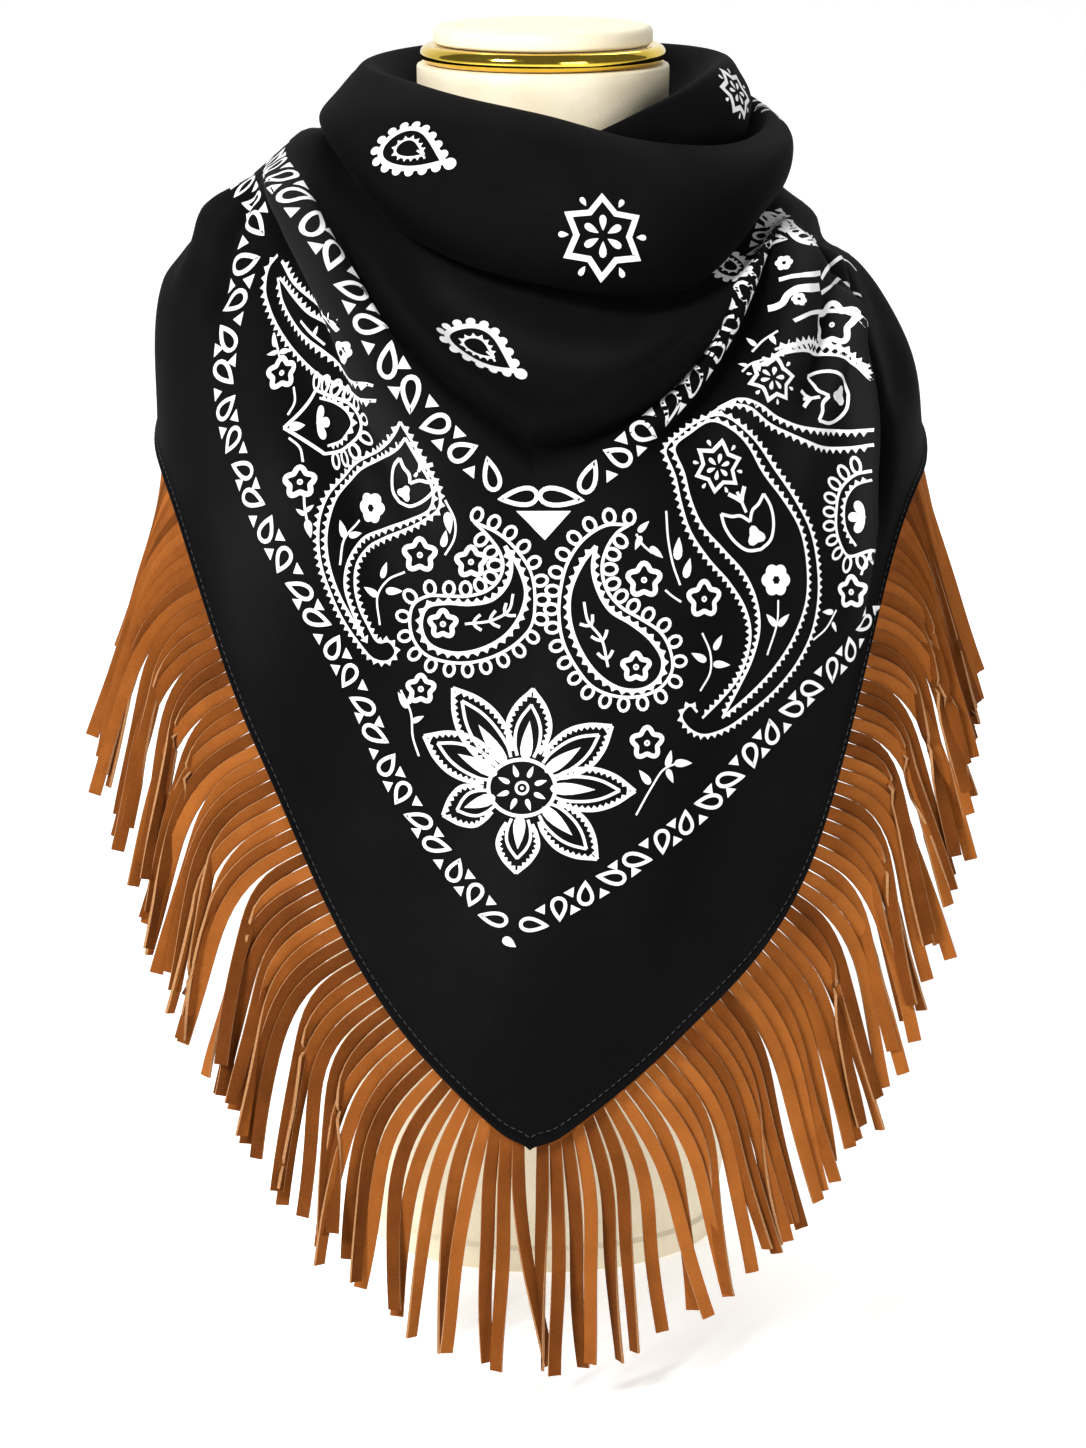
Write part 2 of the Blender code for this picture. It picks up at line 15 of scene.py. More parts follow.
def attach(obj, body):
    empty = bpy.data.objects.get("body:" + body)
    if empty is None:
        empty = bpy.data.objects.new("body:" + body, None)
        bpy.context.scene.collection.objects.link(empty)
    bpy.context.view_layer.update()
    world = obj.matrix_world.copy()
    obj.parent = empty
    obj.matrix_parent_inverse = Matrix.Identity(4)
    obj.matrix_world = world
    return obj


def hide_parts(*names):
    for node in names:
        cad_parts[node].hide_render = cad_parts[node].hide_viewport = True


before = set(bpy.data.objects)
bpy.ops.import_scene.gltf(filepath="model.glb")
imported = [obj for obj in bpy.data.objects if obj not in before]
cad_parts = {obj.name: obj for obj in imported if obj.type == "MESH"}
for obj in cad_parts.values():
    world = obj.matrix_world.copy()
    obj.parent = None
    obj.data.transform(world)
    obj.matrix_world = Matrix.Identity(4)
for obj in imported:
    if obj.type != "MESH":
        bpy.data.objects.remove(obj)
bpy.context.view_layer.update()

MM = 0.001
DOWN = np.array([0.0, 0.0, -1.0])

# --- the photograph's camera ---------------------------------------------------------------
CAMERA_PLACE = np.array([0.0, -1.5, 0.70])
CAMERA_PITCH = math.radians(16.6)
PHOTO_SIZE = (1086, 1448)
PHOTO_FOCAL = 3335
SENSOR = 36.0

# --- form ----------------------------------------------------------------------------------
NECK_RADIUS = 0.056
NECK_TOP = 0.5587
SPIGOT_RADIUS = 0.0460
RING_CENTRE_RADIUS = 0.0505
RING_TUBE_RADIUS = 0.0040
CAP_RADIUS = 0.0486
CAP_THICKNESS = 0.0080
GAP = 0.0003

# height, half width, half depth, centre along Y
FORM_SECTIONS = [
    (0, 84, 61, 0),
    (12, 86, 63, 0),
    (14, 84.5, 61.5, 0),
    (40, 88.5, 65, 0),
    (110, 98, 74, -1),
    (200, 114, 88, -3),
    (290, 134, 101, -5),
    (365, 149, 109, -6),
    (415, 150, 105, -5),
    (445, 140, 94, -3),
    (468, 118, 81, -1),
    (486, 90, 70, 0),
    (502, 68, 61.5, 0),
    (518, 59, 57.5, 0),
    (532, 56.4, 56.2, 0),
    (NECK_TOP / MM, NECK_RADIUS / MM, NECK_RADIUS / MM, 0),
]

# --- scarf, as in the part's source --------------------------------------------------------
CLOTH = 0.0016
HEM = 0.0032
DOUBLE_CLOTH = 0.0024
SEAT_GAP = 0.0005
# The front panel, from its hem up to where it tucks in under the cowl. Its two wings go round
# the sides and cross at the nape: END_AZIMUTH is past the back's middle.
END_AZIMUTH = 202
# The point hangs a little to the left of the front: a panel azimuth is counted from there.
POINT_AZIMUTH = -1.7
PANEL_STATIONS = [0, 20, 40, 60, 80, 110, 145, 180, END_AZIMUTH]
PANEL_SECTIONS = {
    "hem": {
        "pointed": True,
        "left": [
            (190, 115), (187, 181), (184, 283), (179, 372), (174, 398),
            (162, 412), (147, 435), (131, 460), (114, 475),
        ],
        "right": [
            (190, 115), (187, 168), (182, 229), (178, 360), (174, 390),
            (161, 408), (149, 434), (142, 463), (132, 484),
        ],
    },
    "border": {
        "pointed": True,
        "left": [
            (185, 209), (181, 280), (173, 366), (165, 428), (171, 457),
            (158, 472), (137, 479), (119, 486), (107, 490),
        ],
        "right": [
            (185, 209), (182, 263), (178, 312), (171, 402), (166, 431),
            (154, 451), (139, 473), (129, 491), (123, 505),
        ],
    },
    "middle": {
        "pointed": True,
        "left": [
            (171, 303), (170, 353), (160, 420), (144, 465), (145, 492),
            (134, 498), (117, 497), (107, 497), (98, 495),
        ],
        "right": [
            (171, 303), (170, 342), (165, 382), (150, 442), (135, 473),
            (128, 485), (119, 494), (114, 506), (111, 514),
        ],
    },
    "inner": {
        "pointed": True,
        "left": [
            (150, 395), (152, 434), (138, 486), (126, 509), (120, 517),
            (114, 515), (104, 509), (97, 502), (91, 500),
        ],
        "right": [
            (150, 395), (149, 423), (134, 457), (120, 488), (117, 494),
            (113, 500), (107, 507), (105, 514), (103, 518),
        ],
    },
    "drape": {
        "left": [
            (138, 441), (136, 459), (123, 488), (110, 514), (104, 528),
            (101, 525), (95, 516), (88, 507), (84, 504),
        ],
        "right": [
            (138, 441), (131, 447), (116, 471), (109, 488), (106, 498),
            (102, 504), (99, 511), (96, 516), (94, 518),
        ],
    },
    "tuck": {
        "left": [
            (96, 481), (94, 488), (90, 500), (88, 509), (84, 514),
            (82, 514), (78, 510), (74, 505), (72, 503),
        ],
        "right": [
            (96, 481), (95, 477), (92, 484), (89, 494), (86, 501),
            (83, 506), (81, 511), (80, 514), (79, 516),
        ],
    },
}
PANEL_SEAT_HEIGHT = 0.513

# The panel's largest folds: a soft ridge (or trough, where the rise is negative) along a line of
# (azimuth, section number from the hem), with its rise and half width in mm
FOLDS = {
    "left ridge": {"line": [(-78, 3.2), (-52, 3.05), (-33, 2.85), (-10, 2.1)], "rise": 6, "wide": 21},
    "left hollow": {"line": [(-70, 2.5), (-50, 2.3), (-32, 2.1), (-19, 1.8)], "rise": -6, "wide": 22},
    "right valley": {"line": [(14, 2.75), (30, 2.7), (46, 2.75), (60, 2.85)], "rise": -6, "wide": 18},
    "right ridge": {"line": [(36, 2.1), (52, 2.35), (72, 2.7)], "rise": 5, "wide": 18},
    "right pleat": {"line": [(52, 1.0), (57, 1.5), (66, 2.0), (80, 2.3)], "rise": 5, "wide": 19},
    "right pleat back": {"line": [(64, 0.8), (74, 1.2), (90, 1.6)], "rise": -4, "wide": 19},
    "left shoulder hollow": {"line": [(-98, 1.9), (-88, 1.4), (-84, 1.1)], "rise": -3, "wide": 28},
}
# The finer creases between them, in the same terms. A tone, where given, is the painted shade
# (below 0) or painted light (above 0) they put on the cloth's colour, instead of one from their rise.
CREASES = {
    "drape bulge": {
        "line": [
            (-46, 4.4), (-36, 4.15), (-25, 3.95), (-12, 3.75), (0, 3.62), (12, 3.6), (26, 3.65),
            (42, 3.8),
        ],
        "rise": 9,
        "wide": 15,
        "tone": 0,
    },
    "drape trough": {
        "line": [
            (-50, 4.2), (-42, 3.97), (-28, 3.72), (-14, 3.5), (-4, 3.38), (8, 3.28), (20, 3.26),
            (34, 3.26), (52, 3.38),
        ],
        "rise": -7.5,
        "wide": 8.5,
        "tone": -0.8,
    },
    "left strip ridge": {
        "line": [
            (-82, 2.94), (-58, 2.93), (-38, 2.88), (-27, 2.82), (-19, 2.72), (-15, 2.55), (-14, 2.3),
        ],
        "rise": 5,
        "wide": 8,
    },
    "left undercut": {
        "line": [(-76, 2.7), (-54, 2.68), (-38, 2.66), (-29, 2.6), (-22, 2.5), (-18, 2.36), (-17, 2.1)],
        "rise": -6.5,
        "wide": 8,
    },
    "left shoulder ridge": {
        "line": [(-76, 1.1), (-80, 1.7), (-83, 2.2), (-86, 2.6)],
        "rise": 3.5,
        "wide": 9,
        "tone": 0.16,
    },
    "left shoulder trough": {
        "line": [(-65, 1.3), (-69, 1.8), (-73, 2.3), (-79, 2.9)],
        "rise": -3.5,
        "wide": 8,
    },
    "right strip valley": {
        "line": [(6, 2.98), (18, 2.92), (28, 2.9), (38, 2.94), (50, 3.02), (66, 3.3)],
        "rise": -6.5,
        "wide": 7.5,
    },
    "right overhang": {
        "line": [(16, 2.72), (26, 2.66), (35, 2.6), (46, 2.6), (58, 2.7), (72, 3.0)],
        "rise": 7.5,
        "wide": 9,
    },
    "right rumple trough": {
        "line": [(40, 2.35), (50, 2.28), (60, 2.32), (74, 2.6)],
        "rise": -5.5,
        "wide": 7,
    },
    "right rumple": {"line": [(46, 2.1), (56, 2.05), (66, 2.12), (80, 2.4)], "rise": 4.5, "wide": 7},
    "right rumple low": {"line": [(58, 1.75), (68, 1.8), (80, 2.05)], "rise": -5, "wide": 7},
    "pleat edge": {
        "line": [(48.5, 0.3), (50.5, 0.7), (53, 1.2), (56.5, 1.6), (60, 1.95), (62, 2.3), (62, 2.9)],
        "rise": 9,
        "wide": 6.5,
    },
    "pleat trough": {
        "line": [(56.5, 0.3), (58, 0.7), (60, 1.2), (63.5, 1.55), (67, 1.9), (70, 2.25), (70, 2.8)],
        "rise": -9,
        "wide": 6.5,
    },
    "right shoulder hollow": {
        "line": [(72, 2.7), (82, 2.3), (93, 2.0), (106, 1.8), (118, 1.6)],
        "rise": -5,
        "wide": 15,
        "tone": 0,
    },
    "left shoulder bulge": {
        "line": [(-62, 2.15), (-74, 2.05), (-86, 1.9), (-100, 1.75)],
        "rise": 5.5,
        "wide": 18,
        "tone": 0,
    },
    "left hem swell": {"line": [(-52, 0.0), (-46, 0.7), (-40, 1.5), (-33, 2.2)], "rise": 2.6, "wide": 15},
    "left hem dip": {"line": [(-40, -0.2), (-33, 0.6), (-27, 1.4), (-20, 2.1)], "rise": -2.8, "wide": 14},
    "middle swell": {"line": [(-14, -0.2), (-9, 0.7), (-3, 1.7), (2, 2.6)], "rise": 2.2, "wide": 17},
    "right dip": {"line": [(18, 0.2), (22, 1.0), (26, 1.8), (30, 2.4)], "rise": -2.6, "wide": 15},
    "left wing crease": {"line": [(-92, 0.4), (-108, 1.2), (-126, 2.2)], "rise": -3, "wide": 14},
    "left wing fold": {"line": [(-104, 0.0), (-124, 0.8), (-146, 1.8)], "rise": 3, "wide": 14},
    "left nape crease": {"line": [(-140, 0.0), (-158, 1.0), (-176, 2.0)], "rise": -2.2, "wide": 12},
    "right wing crease": {"line": [(96, 0.3), (110, 1.2), (126, 2.3)], "rise": -3, "wide": 13},
    "right wing fold": {"line": [(108, 0.0), (126, 1.0), (148, 2.0)], "rise": 2.5, "wide": 13},
    "right nape crease": {"line": [(140, 0.0), (160, 1.0), (184, 2.0)], "rise": -2, "wide": 12},
}
# Shadow and light on the cloth beside its folds: a line, how much lighter or darker, half width in mm
TONES = [
    ([(-34, 4.75), (-20, 4.5), (-4, 4.3), (12, 4.2), (30, 4.2)], 0.22, 9),
    ([(-30, 3.95), (-14, 3.7), (0, 3.58), (14, 3.5), (30, 3.5)], -0.2, 16),
    ([(-66, 2.5), (-76, 2.45), (-86, 2.35), (-98, 2.2)], -0.4, 13),
    ([(-20, 0.2), (0, 0.3), (20, 0.2)], -0.12, 40),
]
# Small uneven waves all over: how many degrees and sections each is long, and its height in mm
WAVES = [(23, 1.7, 0.55, 0.4), (13, 0.9, 0.35, 1.9), (37, 2.6, 0.6, 3.1)]
FOLD_DEGREE, FOLD_SECTION = 0.0028, 0.065
# The right wing lies over the left one at the nape.
WING_LIFT = 0.0068
WING_LIFT_FROM, WING_LIFT_TO = 105, 150
WING_DROP = 0.005

# The cowl: the outer turn, a rolled collar, from its foot on the neck over the top edge to its lip
COWL_STATIONS = [0, 30, 60, 90, 135, 180]
COWL_SECTIONS = {
    "foot": {
        "left": [(69, 523), (64, 529), (58.7, 535), (58.5, 537), (67, 538), (78, 539)],
        "right": [(69, 523), (77, 511), (88, 509), (93, 511), (93, 527), (78, 539)],
    },
    "inner": {
        "left": [(71, 534), (66, 540), (62, 545), (66, 548), (72, 550), (80, 552)],
        "right": [(71, 534), (79, 523), (89, 519), (95, 521), (94, 536), (80, 552)],
    },
    "top": {
        "left": [(76, 543), (70, 549), (68, 553), (77, 556), (83, 559), (87, 561)],
        "right": [(76, 543), (82, 532), (92, 527), (100, 532), (97, 547), (87, 561)],
    },
    "brow": {
        "left": [(93, 535), (89, 541), (84, 547), (84, 552), (89, 555), (97, 556)],
        "right": [(93, 535), (97, 525), (101, 525), (106, 530), (104, 543), (97, 556)],
    },
    "belly": {
        "left": [(110, 513), (106, 522), (98, 539), (91, 545), (96, 545), (107, 546)],
        "right": [(110, 513), (113, 506), (110, 519), (110, 526), (109, 536), (107, 546)],
    },
    "front": {
        "left": [(118, 493), (113, 507), (104, 533), (97, 538), (101, 533), (110, 533)],
        "right": [(118, 493), (119, 487), (113, 510), (109, 517), (109, 526), (110, 533)],
    },
    "lip": {
        "left": [(117, 480), (110, 496), (102, 526), (95, 534), (98, 526), (107, 522)],
        "right": [(117, 480), (117, 475), (110, 502), (104, 508), (105, 517), (107, 522)],
    },
    "curl": {
        "left": [(112, 482), (105, 500), (97, 529), (90, 537), (93, 529), (102, 525)],
        "right": [(112, 482), (112, 478), (105, 505), (99, 511), (100, 520), (102, 525)],
    },
}

# The inner turn: it comes out at the front right, inside the cowl, and runs back round the neck.
TURN_STATIONS = [10, 40, 70, 110, 150, 190]
TURN_SECTIONS = {
    "foot": [(60, 520), (57.6, 533), (57.5, 540), (57.5, 542), (57.5, 542), (58, 542)],
    "inner": [(64, 525), (66, 539), (68, 549), (70, 553), (66, 553), (63, 551)],
    "top": [(69, 530), (75, 546), (78, 557.5), (81, 561), (74, 561), (68, 556)],
    "shoulder": [(70, 525), (78, 540), (85, 551), (87, 554), (80, 555), (71, 551)],
    "belly": [(67, 517), (77, 527), (90, 539), (90, 543), (82, 545), (71, 543)],
    "tail": [(64.5, 515.5), (74, 514), (86, 520), (87, 524), (80, 534), (69, 536)],
}

# --- suede fringe --------------------------------------------------------------------------
STRAND_PITCH = 0.0057
STRAND_WIDTH = 0.0063
STRAND_THICKNESS = 0.0013
STRAND_LENGTH = 0.112
STRAND_SEGMENTS = 18
STRAND_LOWEST = 0.003
STRIP_ABOVE_HEM = 0.0065
STRIP_BELOW_HEM = 0.0030
STRIP_GAP = 0.0011
POINT_SPREAD = 0.060
STRAND_CLEARANCE = 0.0009
MOST_SLANT = 0.9
SIDE_TURN = 27
PATH_STEPS = 60
LEAN_FRONT, LEAN_SIDE, LEAN_BACK = 5, 18, 4
FRINGE_END = {"left": 166, "right": 186}

# --- print: places are pixels of the photograph, sizes are millimetres ------------------------
# LOOPED_PAISLEYS, LONG_PAISLEYS, STROKES, MEDALLIONS and SPRIGS hold lines that were digitised,
# point by point, from the photograph. The other motifs are drawn from a place and a size.
PRINT_LIFT = 0.00018
PRINT_LEVEL = 0.000012
PRINT_LEVELS = 8
BORDER_PITCH = 14.7
BORDER_LINE = 1.75
# how far a wedge's base lies from the strip's middle, half the base's length, and the wedge's height
WEDGE_AWAY, WEDGE_HALF, WEDGE_HEIGHT = 5.6, 2.9, 4.3
# The strip's four drops in turn: the way the tip points from the strip's own way, length and width,
# then the wedges after it as (side, shift along the strip)
BORDER_DROPS = [
    (38, 12.6, 6.1, [(-1, 0)]), (118, 10.4, 6.6, [(1, -1.3), (-1, 1.3)]),
    (-61, 10.4, 6.6, [(1, 0)]), (-140, 12.6, 6.1, [(-1, -3.2), (1, 3.2)]),
]
# x, y and radius of each outlined flower, then of each filled one and each star
FLOWERS = [
    (420, 555, 5.7), (471, 562, 5.2), (644, 580, 5.9), (704, 599, 6.2), (421, 689, 4.9), (443, 624, 4.8),
    (636, 667, 4.9), (647, 743, 5.6), (851, 592, 5.4), (300, 482, 5.5), (282, 373, 5.8), (832, 325, 9.0),
]
FILLED_FLOWERS = [(776, 580, 6.4), (371, 508, 6.2), (341, 353, 5.0), (799, 299, 3.0), (784, 263, 3.6)]
STARS = [(718, 467, 10.5), (773, 378, 10.5)]
# x, y, angle and size of each tulip
TULIPS = [(752, 527, 112, 1.22), (834, 396, 178, 1.3), (408, 487, 60, 1.0)]
LOOPED_PAISLEYS = [
    {
        "outer": [
            (474, 522), (499, 534), (519, 553), (532, 576), (535, 602), (532, 624), (519, 641), (499, 654),
            (474, 662), (448, 662), (425, 654), (413, 638), (410, 619), (414, 604), (428, 596), (448, 596),
            (468, 596), (488, 590), (499, 579), (503, 565), (499, 551), (488, 536), (474, 522),
        ],
        "inner": [
            (505, 546), (519, 568), (526, 593), (520, 616), (505, 636), (479, 650), (451, 653), (428, 643),
            (421, 624), (427, 607), (445, 603), (471, 604), (493, 599), (508, 582), (511, 562), (505, 546),
        ],
        "twig": [(513, 594), (509, 610), (493, 620), (465, 624)],
    },
    {
        "outer": [
            (629, 525), (607, 525), (584, 539), (568, 562), (561, 587), (559, 616), (563, 641), (576, 667),
            (593, 687), (615, 696), (641, 696), (661, 687), (672, 670), (670, 650), (661, 633), (641, 619),
            (621, 607), (607, 590), (602, 568), (607, 548), (618, 532), (629, 525),
        ],
        "inner": [
            (596, 546), (583, 562), (570, 593), (570, 621), (580, 650), (598, 675), (621, 689), (644, 689),
            (659, 678), (663, 661), (652, 641), (632, 624), (610, 610), (597, 587), (593, 568), (596, 546),
        ],
        "twig": [(584, 602), (588, 621), (601, 638), (608, 667)],
    },
]
# Long paisleys and the edges of others that the folds cut: lines toothed on their outer side
LONG_PAISLEYS = [
    [
        (702, 718), (720, 700), (737, 679), (747, 655), (750, 631), (744, 607), (729, 583), (708, 559),
        (690, 532), (681, 505), (675, 478), (665, 450), (681, 433), (699, 421), (720, 415), (741, 426),
        (759, 445), (777, 472), (795, 499), (810, 529), (817, 562), (818, 598), (812, 631), (798, 661),
        (777, 688), (750, 712), (723, 730), (702, 735), (687, 727), (681, 715), (690, 705), (697, 712),
    ],
    [
        (722, 718), (738, 688), (752, 658), (759, 628), (756, 601), (744, 574), (723, 550), (702, 526),
        (690, 499), (684, 475), (674, 448), (690, 433), (711, 421), (732, 429), (750, 448), (765, 475),
        (783, 499), (800, 529), (807, 565), (806, 601), (795, 634), (777, 664), (750, 694), (722, 718),
    ],
    [
        (400, 422), (390, 440), (370, 455), (348, 472), (330, 492), (320, 515), (318, 540), (321, 565),
        (330, 592), (342, 618), (358, 642), (375, 660), (389, 661), (396, 652), (389, 641), (379, 642),
        (368, 625), (359, 605), (355, 582), (358, 562), (368, 548), (385, 538), (405, 530), (425, 520),
        (439, 508), (439, 492), (428, 470), (412, 442), (400, 422),
    ],
    [
        (405, 438), (398, 448), (378, 460), (355, 475), (338, 495), (329, 518), (326, 540), (329, 565),
        (338, 592), (350, 615), (364, 638), (352, 610), (345, 585), (349, 560), (362, 540), (385, 529),
        (410, 520), (430, 509), (433, 492), (420, 464), (405, 438),
    ],
    [
        (376, 401), (349, 390), (322, 377), (298, 355), (282, 334), (270, 310), (265, 289), (269, 267),
        (278, 255),
    ],
    [(373, 386), (344, 371), (317, 347), (296, 326), (282, 299), (278, 278)],
    [(282, 261), (293, 281), (312, 299), (328, 321), (338, 331)],
    [(280, 278), (296, 299), (312, 315), (330, 331)],
    [(874, 445), (850, 448), (815, 445), (785, 432), (762, 418), (745, 406), (725, 406), (708, 416)],
    [(874, 430), (838, 431), (805, 428), (780, 419), (760, 405), (740, 399), (718, 408)],
    [(775, 350), (790, 345), (812, 342), (832, 346), (852, 356), (871, 374)],
    [(760, 365), (780, 355), (808, 351), (832, 355), (855, 365), (872, 380)],
    [(869, 367), (840, 349), (814, 343), (790, 347), (773, 357)],
    [(812, 236), (806, 234), (799, 229), (792, 222)],
]
# Single lines of the rumpled field: pixels and width
STROKES = [
    ([(784, 226), (790, 233), (799, 240), (808, 243), (815, 240)], 2.2),
    ([(779, 280), (790, 277), (805, 275), (820, 273)], 1.7),
    ([(768, 309), (776, 307), (783, 303), (787, 296), (795, 290), (806, 288), (819, 287)], 2.8),
    ([(821, 279), (828, 267), (837, 260), (848, 262), (856, 271)], 1.4),
    ([(821, 293), (833, 284), (847, 284), (861, 296)], 1.6),
    ([(794, 321), (811, 313), (830, 311), (854, 314), (867, 327)], 1.4),
]
# Half daisies: the arc that carries the loops, the arc inside it and the two straight sides
MEDALLIONS = [
    {
        "arc": [(316, 390), (333, 397), (352, 406), (361, 422), (357, 438), (344, 449), (325, 454)],
        "inner": [(320, 398), (336, 403), (349, 414), (352, 425), (344, 438), (328, 446)],
        "point": (284, 428), "heart": (318, 423, 5),
    },
    {
        "arc": [(872, 550), (848, 556), (837, 535), (836, 511), (840, 490), (855, 475), (872, 471)],
        "inner": [(856, 546), (845, 526), (845, 502), (855, 486), (872, 480)],
        "point": None, "heart": (864, 517, 180),
    },
]
BLOOM = (522, 788)
BLOOM_TIPS = [
    (453, 688), (533, 689), (612, 726), (635, 791), (597, 859), (516, 873), (443, 815), (424, 736),
]
# Stems, each with its leaves as a foot and a tip
SPRIGS = [
    (
        [(445, 500), (455, 522), (454, 539), (445, 555)],
        [((447, 512), (450, 534)), ((443, 547), (446, 530))],
    ),
    (
        [(666, 511), (668, 539), (673, 565), (680, 585)],
        [((677, 560), (679, 537)), ((685, 578), (690, 558))],
    ),
    (
        [(636, 534), (643, 545), (652, 553)],
        [((638, 532), (649, 521)), ((641, 536), (635, 550)), ((650, 547), (663, 558))],
    ),
    (
        [(380, 625), (378, 595), (388, 580), (405, 572)],
        [((382, 578), (387, 562)), ((378, 596), (364, 587)), ((386, 591), (403, 591))],
    ),
    (
        [(702, 633), (710, 653), (710, 672), (700, 691)],
        [((706, 661), (691, 653)), ((714, 650), (722, 635)), ((713, 664), (730, 665))],
    ),
    (
        [(636, 815), (651, 788), (664, 769), (677, 763)],
        [
            ((650, 784), (639, 770)), ((667, 767), (671, 750)), ((674, 763), (692, 763)),
            ((667, 769), (673, 783)),
        ],
    ),
    (
        [(401, 690), (411, 713), (413, 737), (419, 756)],
        [((408, 708), (398, 692)), ((412, 722), (424, 716)), ((409, 704), (412, 692))],
    ),
    (
        [(304, 495), (305, 510), (311, 535)],
        [((305, 515), (296, 509)), ((305, 512), (314, 505)), ((307, 520), (311, 538))],
    ),
    ([(340, 565), (345, 538), (360, 520)], [((345, 538), (340, 520)), ((349, 536), (362, 533))]),
    ([(778, 600), (777, 622), (767, 655)], [((776, 626), (766, 614)), ((778, 626), (789, 614))]),
    ([(836, 610), (826, 628), (813, 640)], [((833, 612), (822, 612)), ((832, 622), (836, 632))]),
    (
        [(281, 362), (277, 345), (274, 333)],
        [((278, 352), (267, 355)), ((280, 352), (291, 350)), ((276, 347), (273, 335))],
    ),
    ([(294, 387), (295, 402), (288, 415)], []),
    ([(301, 321), (312, 334), (325, 345)], [((314, 336), (318, 326))]),
    ([(665, 590), (672, 596), (681, 602)], []),
    ([(289, 438), (300, 448), (303, 462)], []),
    ([(861, 575), (864, 566), (869, 556)], []),
    ([(752, 352), (764, 340), (778, 331)], [((756, 346), (746, 338)), ((770, 335), (776, 345))]),
    ([(742, 372), (751, 364), (763, 360)], [((748, 366), (738, 364)), ((757, 362), (760, 372))]),
]
# The plain field: x, y and angle of its knobbed paisleys, and x, y and radius of its stars
COWL_PAISLEYS = [(414, 151, -28)]
DRAPE_PAISLEYS = [(483, 351, -38, 1.26), (729, 263, 100, 0.9)]
COWL_STARS = [(603, 236, 17.0)]
TURN_STARS = [(737, 92, 11.0)]
BORDER_INNER = {
    "left": [(505, 486), (450, 440), (400, 380), (345, 275), (300, 200), (275, 160)],
    "right": [
        (573, 486), (590, 477), (612, 462), (634, 443), (674, 404), (697, 376), (723, 343), (742, 310),
        (753, 275), (765, 236), (774, 213),
    ],
}
BORDER_OUTER = {
    "left": [
        (503, 930), (480, 902), (440, 850), (400, 790), (365, 710), (335, 650), (300, 590), (275, 545),
        (250, 490), (230, 430), (225, 360), (235, 300), (255, 215),
    ],
    "right": [
        (521, 933), (560, 908), (600, 885), (650, 850), (700, 810), (760, 745), (800, 700), (850, 650),
        (873, 600),
    ],
}
# The two drops that lie over the inner strip's corner as foot and tip, the triangle under them, and
# the small leaf at the outer strip's corner
KNOT_DROPS = [((537, 495), (501, 499)), ((540, 495), (581, 500))]
KNOT_TRIANGLE = [(516, 511), (545, 540), (571, 511)]
POINT_LEAF = ((503, 938), (516, 947))
# The hem's stitch line, in sections up from the edge
STITCH_ROW = 0.063
# Where the strips go on, out of the photograph's sight: azimuth and row of the cloth
OUTER_REST = {
    "left": [(-80, 2.5), (-95, 2.3), (-112, 2.0), (-135, 1.7), (-160, 1.5), (-185, 1.4)],
    "right": [],
}
OUTER_BACK = [(94, 1.7), (112, 1.6), (135, 1.6), (160, 1.5), (190, 1.5)]
INNER_REST = {
    "left": [(-92, 3.3), (-104, 3.8), (-114, 4.5)],
    "right": [(58, 3.2), (68, 3.6), (76, 4.2)],
}
# azimuth, row, kind, angle and size of the motifs on the wings, above the outer strip
WING_MOTIFS = [
    (-101, 2.85, "flower", 90, 1.0), (-114, 2.62, "tulip", 80, 0.9), (-129, 2.4, "star", 90, 0.85),
    (-144, 2.3, "paisley", 160, 0.95), (-158, 2.1, "flower", 90, 1.1), (-171, 2.05, "tulip", 100, 0.9),
    (-184, 1.95, "star", 90, 0.85), (97, 2.35, "star", 90, 0.85), (111, 2.25, "tulip", 100, 0.9),
    (124, 2.15, "flower", 90, 1.1), (137, 2.2, "paisley", 20, 0.95), (151, 2.15, "star", 90, 0.85),
    (165, 2.1, "tulip", 80, 0.9), (178, 2.05, "flower", 90, 1.1),
]
# azimuth, row up from the lip, kind and angle of the cowl's other motifs
COWL_REST = [
    (104, 2.7, "star", 90), (152, 2.7, "paisley", -30), (-158, 2.7, "star", 90),
    (-108, 2.6, "paisley", 200),
]


def spline(knots, values, at, tangents=None):
    """A smooth curve through values at knots (rows of an array), read at the places in at."""
    knots, values, at = np.asarray(knots, float), np.asarray(values, float), np.asarray(at, float)
    if tangents is None:
        step = np.diff(values, axis=0) / np.diff(knots)[:, None]
        share = (np.diff(knots)[:-1] / (knots[2:] - knots[:-2]))[:, None]
        inside = step[:-1] * (1 - share) + step[1:] * share
        tangents = np.vstack([step[:1], inside, step[-1:]])
    cell = np.clip(np.searchsorted(knots, at, side="right") - 1, 0, len(knots) - 2)
    width = knots[cell + 1] - knots[cell]
    u = ((at - knots[cell]) / width)[:, None]
    width = width[:, None]
    return (
        (2 * u**3 - 3 * u**2 + 1) * values[cell]
        + (u**3 - 2 * u**2 + u) * width * tangents[cell]
        + (3 * u**2 - 2 * u**3) * values[cell + 1]
        + (u**3 - u**2) * width * tangents[cell + 1]
    )


def smoothstep(low, high, value):
    u = np.clip((np.asarray(value, float) - low) / (high - low), 0, 1)
    return u * u * (3 - 2 * u)


def smooth_rows(knots, rows):
    """A grid of points on smooth curves through each column of the knots, read at the rows."""
    flat = knots.reshape(len(knots), -1)
    return spline(np.arange(len(knots)), flat, rows).reshape(len(rows), -1, 3)


def both_sides(section, stations, azimuths):
    """(radius, height) in metres at each azimuth, of a section with a left and a right half."""
    left, right = (np.array(section[side], float) * MM for side in ("left", "right"))
    if section.get("pointed"):
        azimuths = azimuths - POINT_AZIMUTH
        out = spline(stations, left, np.abs(azimuths))
        out[azimuths > 0] = spline(stations, right, azimuths[azimuths > 0])
        return out
    around = np.concatenate([-np.array(stations[:0:-1], float), np.array(stations, float)])
    return spline(around, np.vstack([left[:0:-1], right]), azimuths)


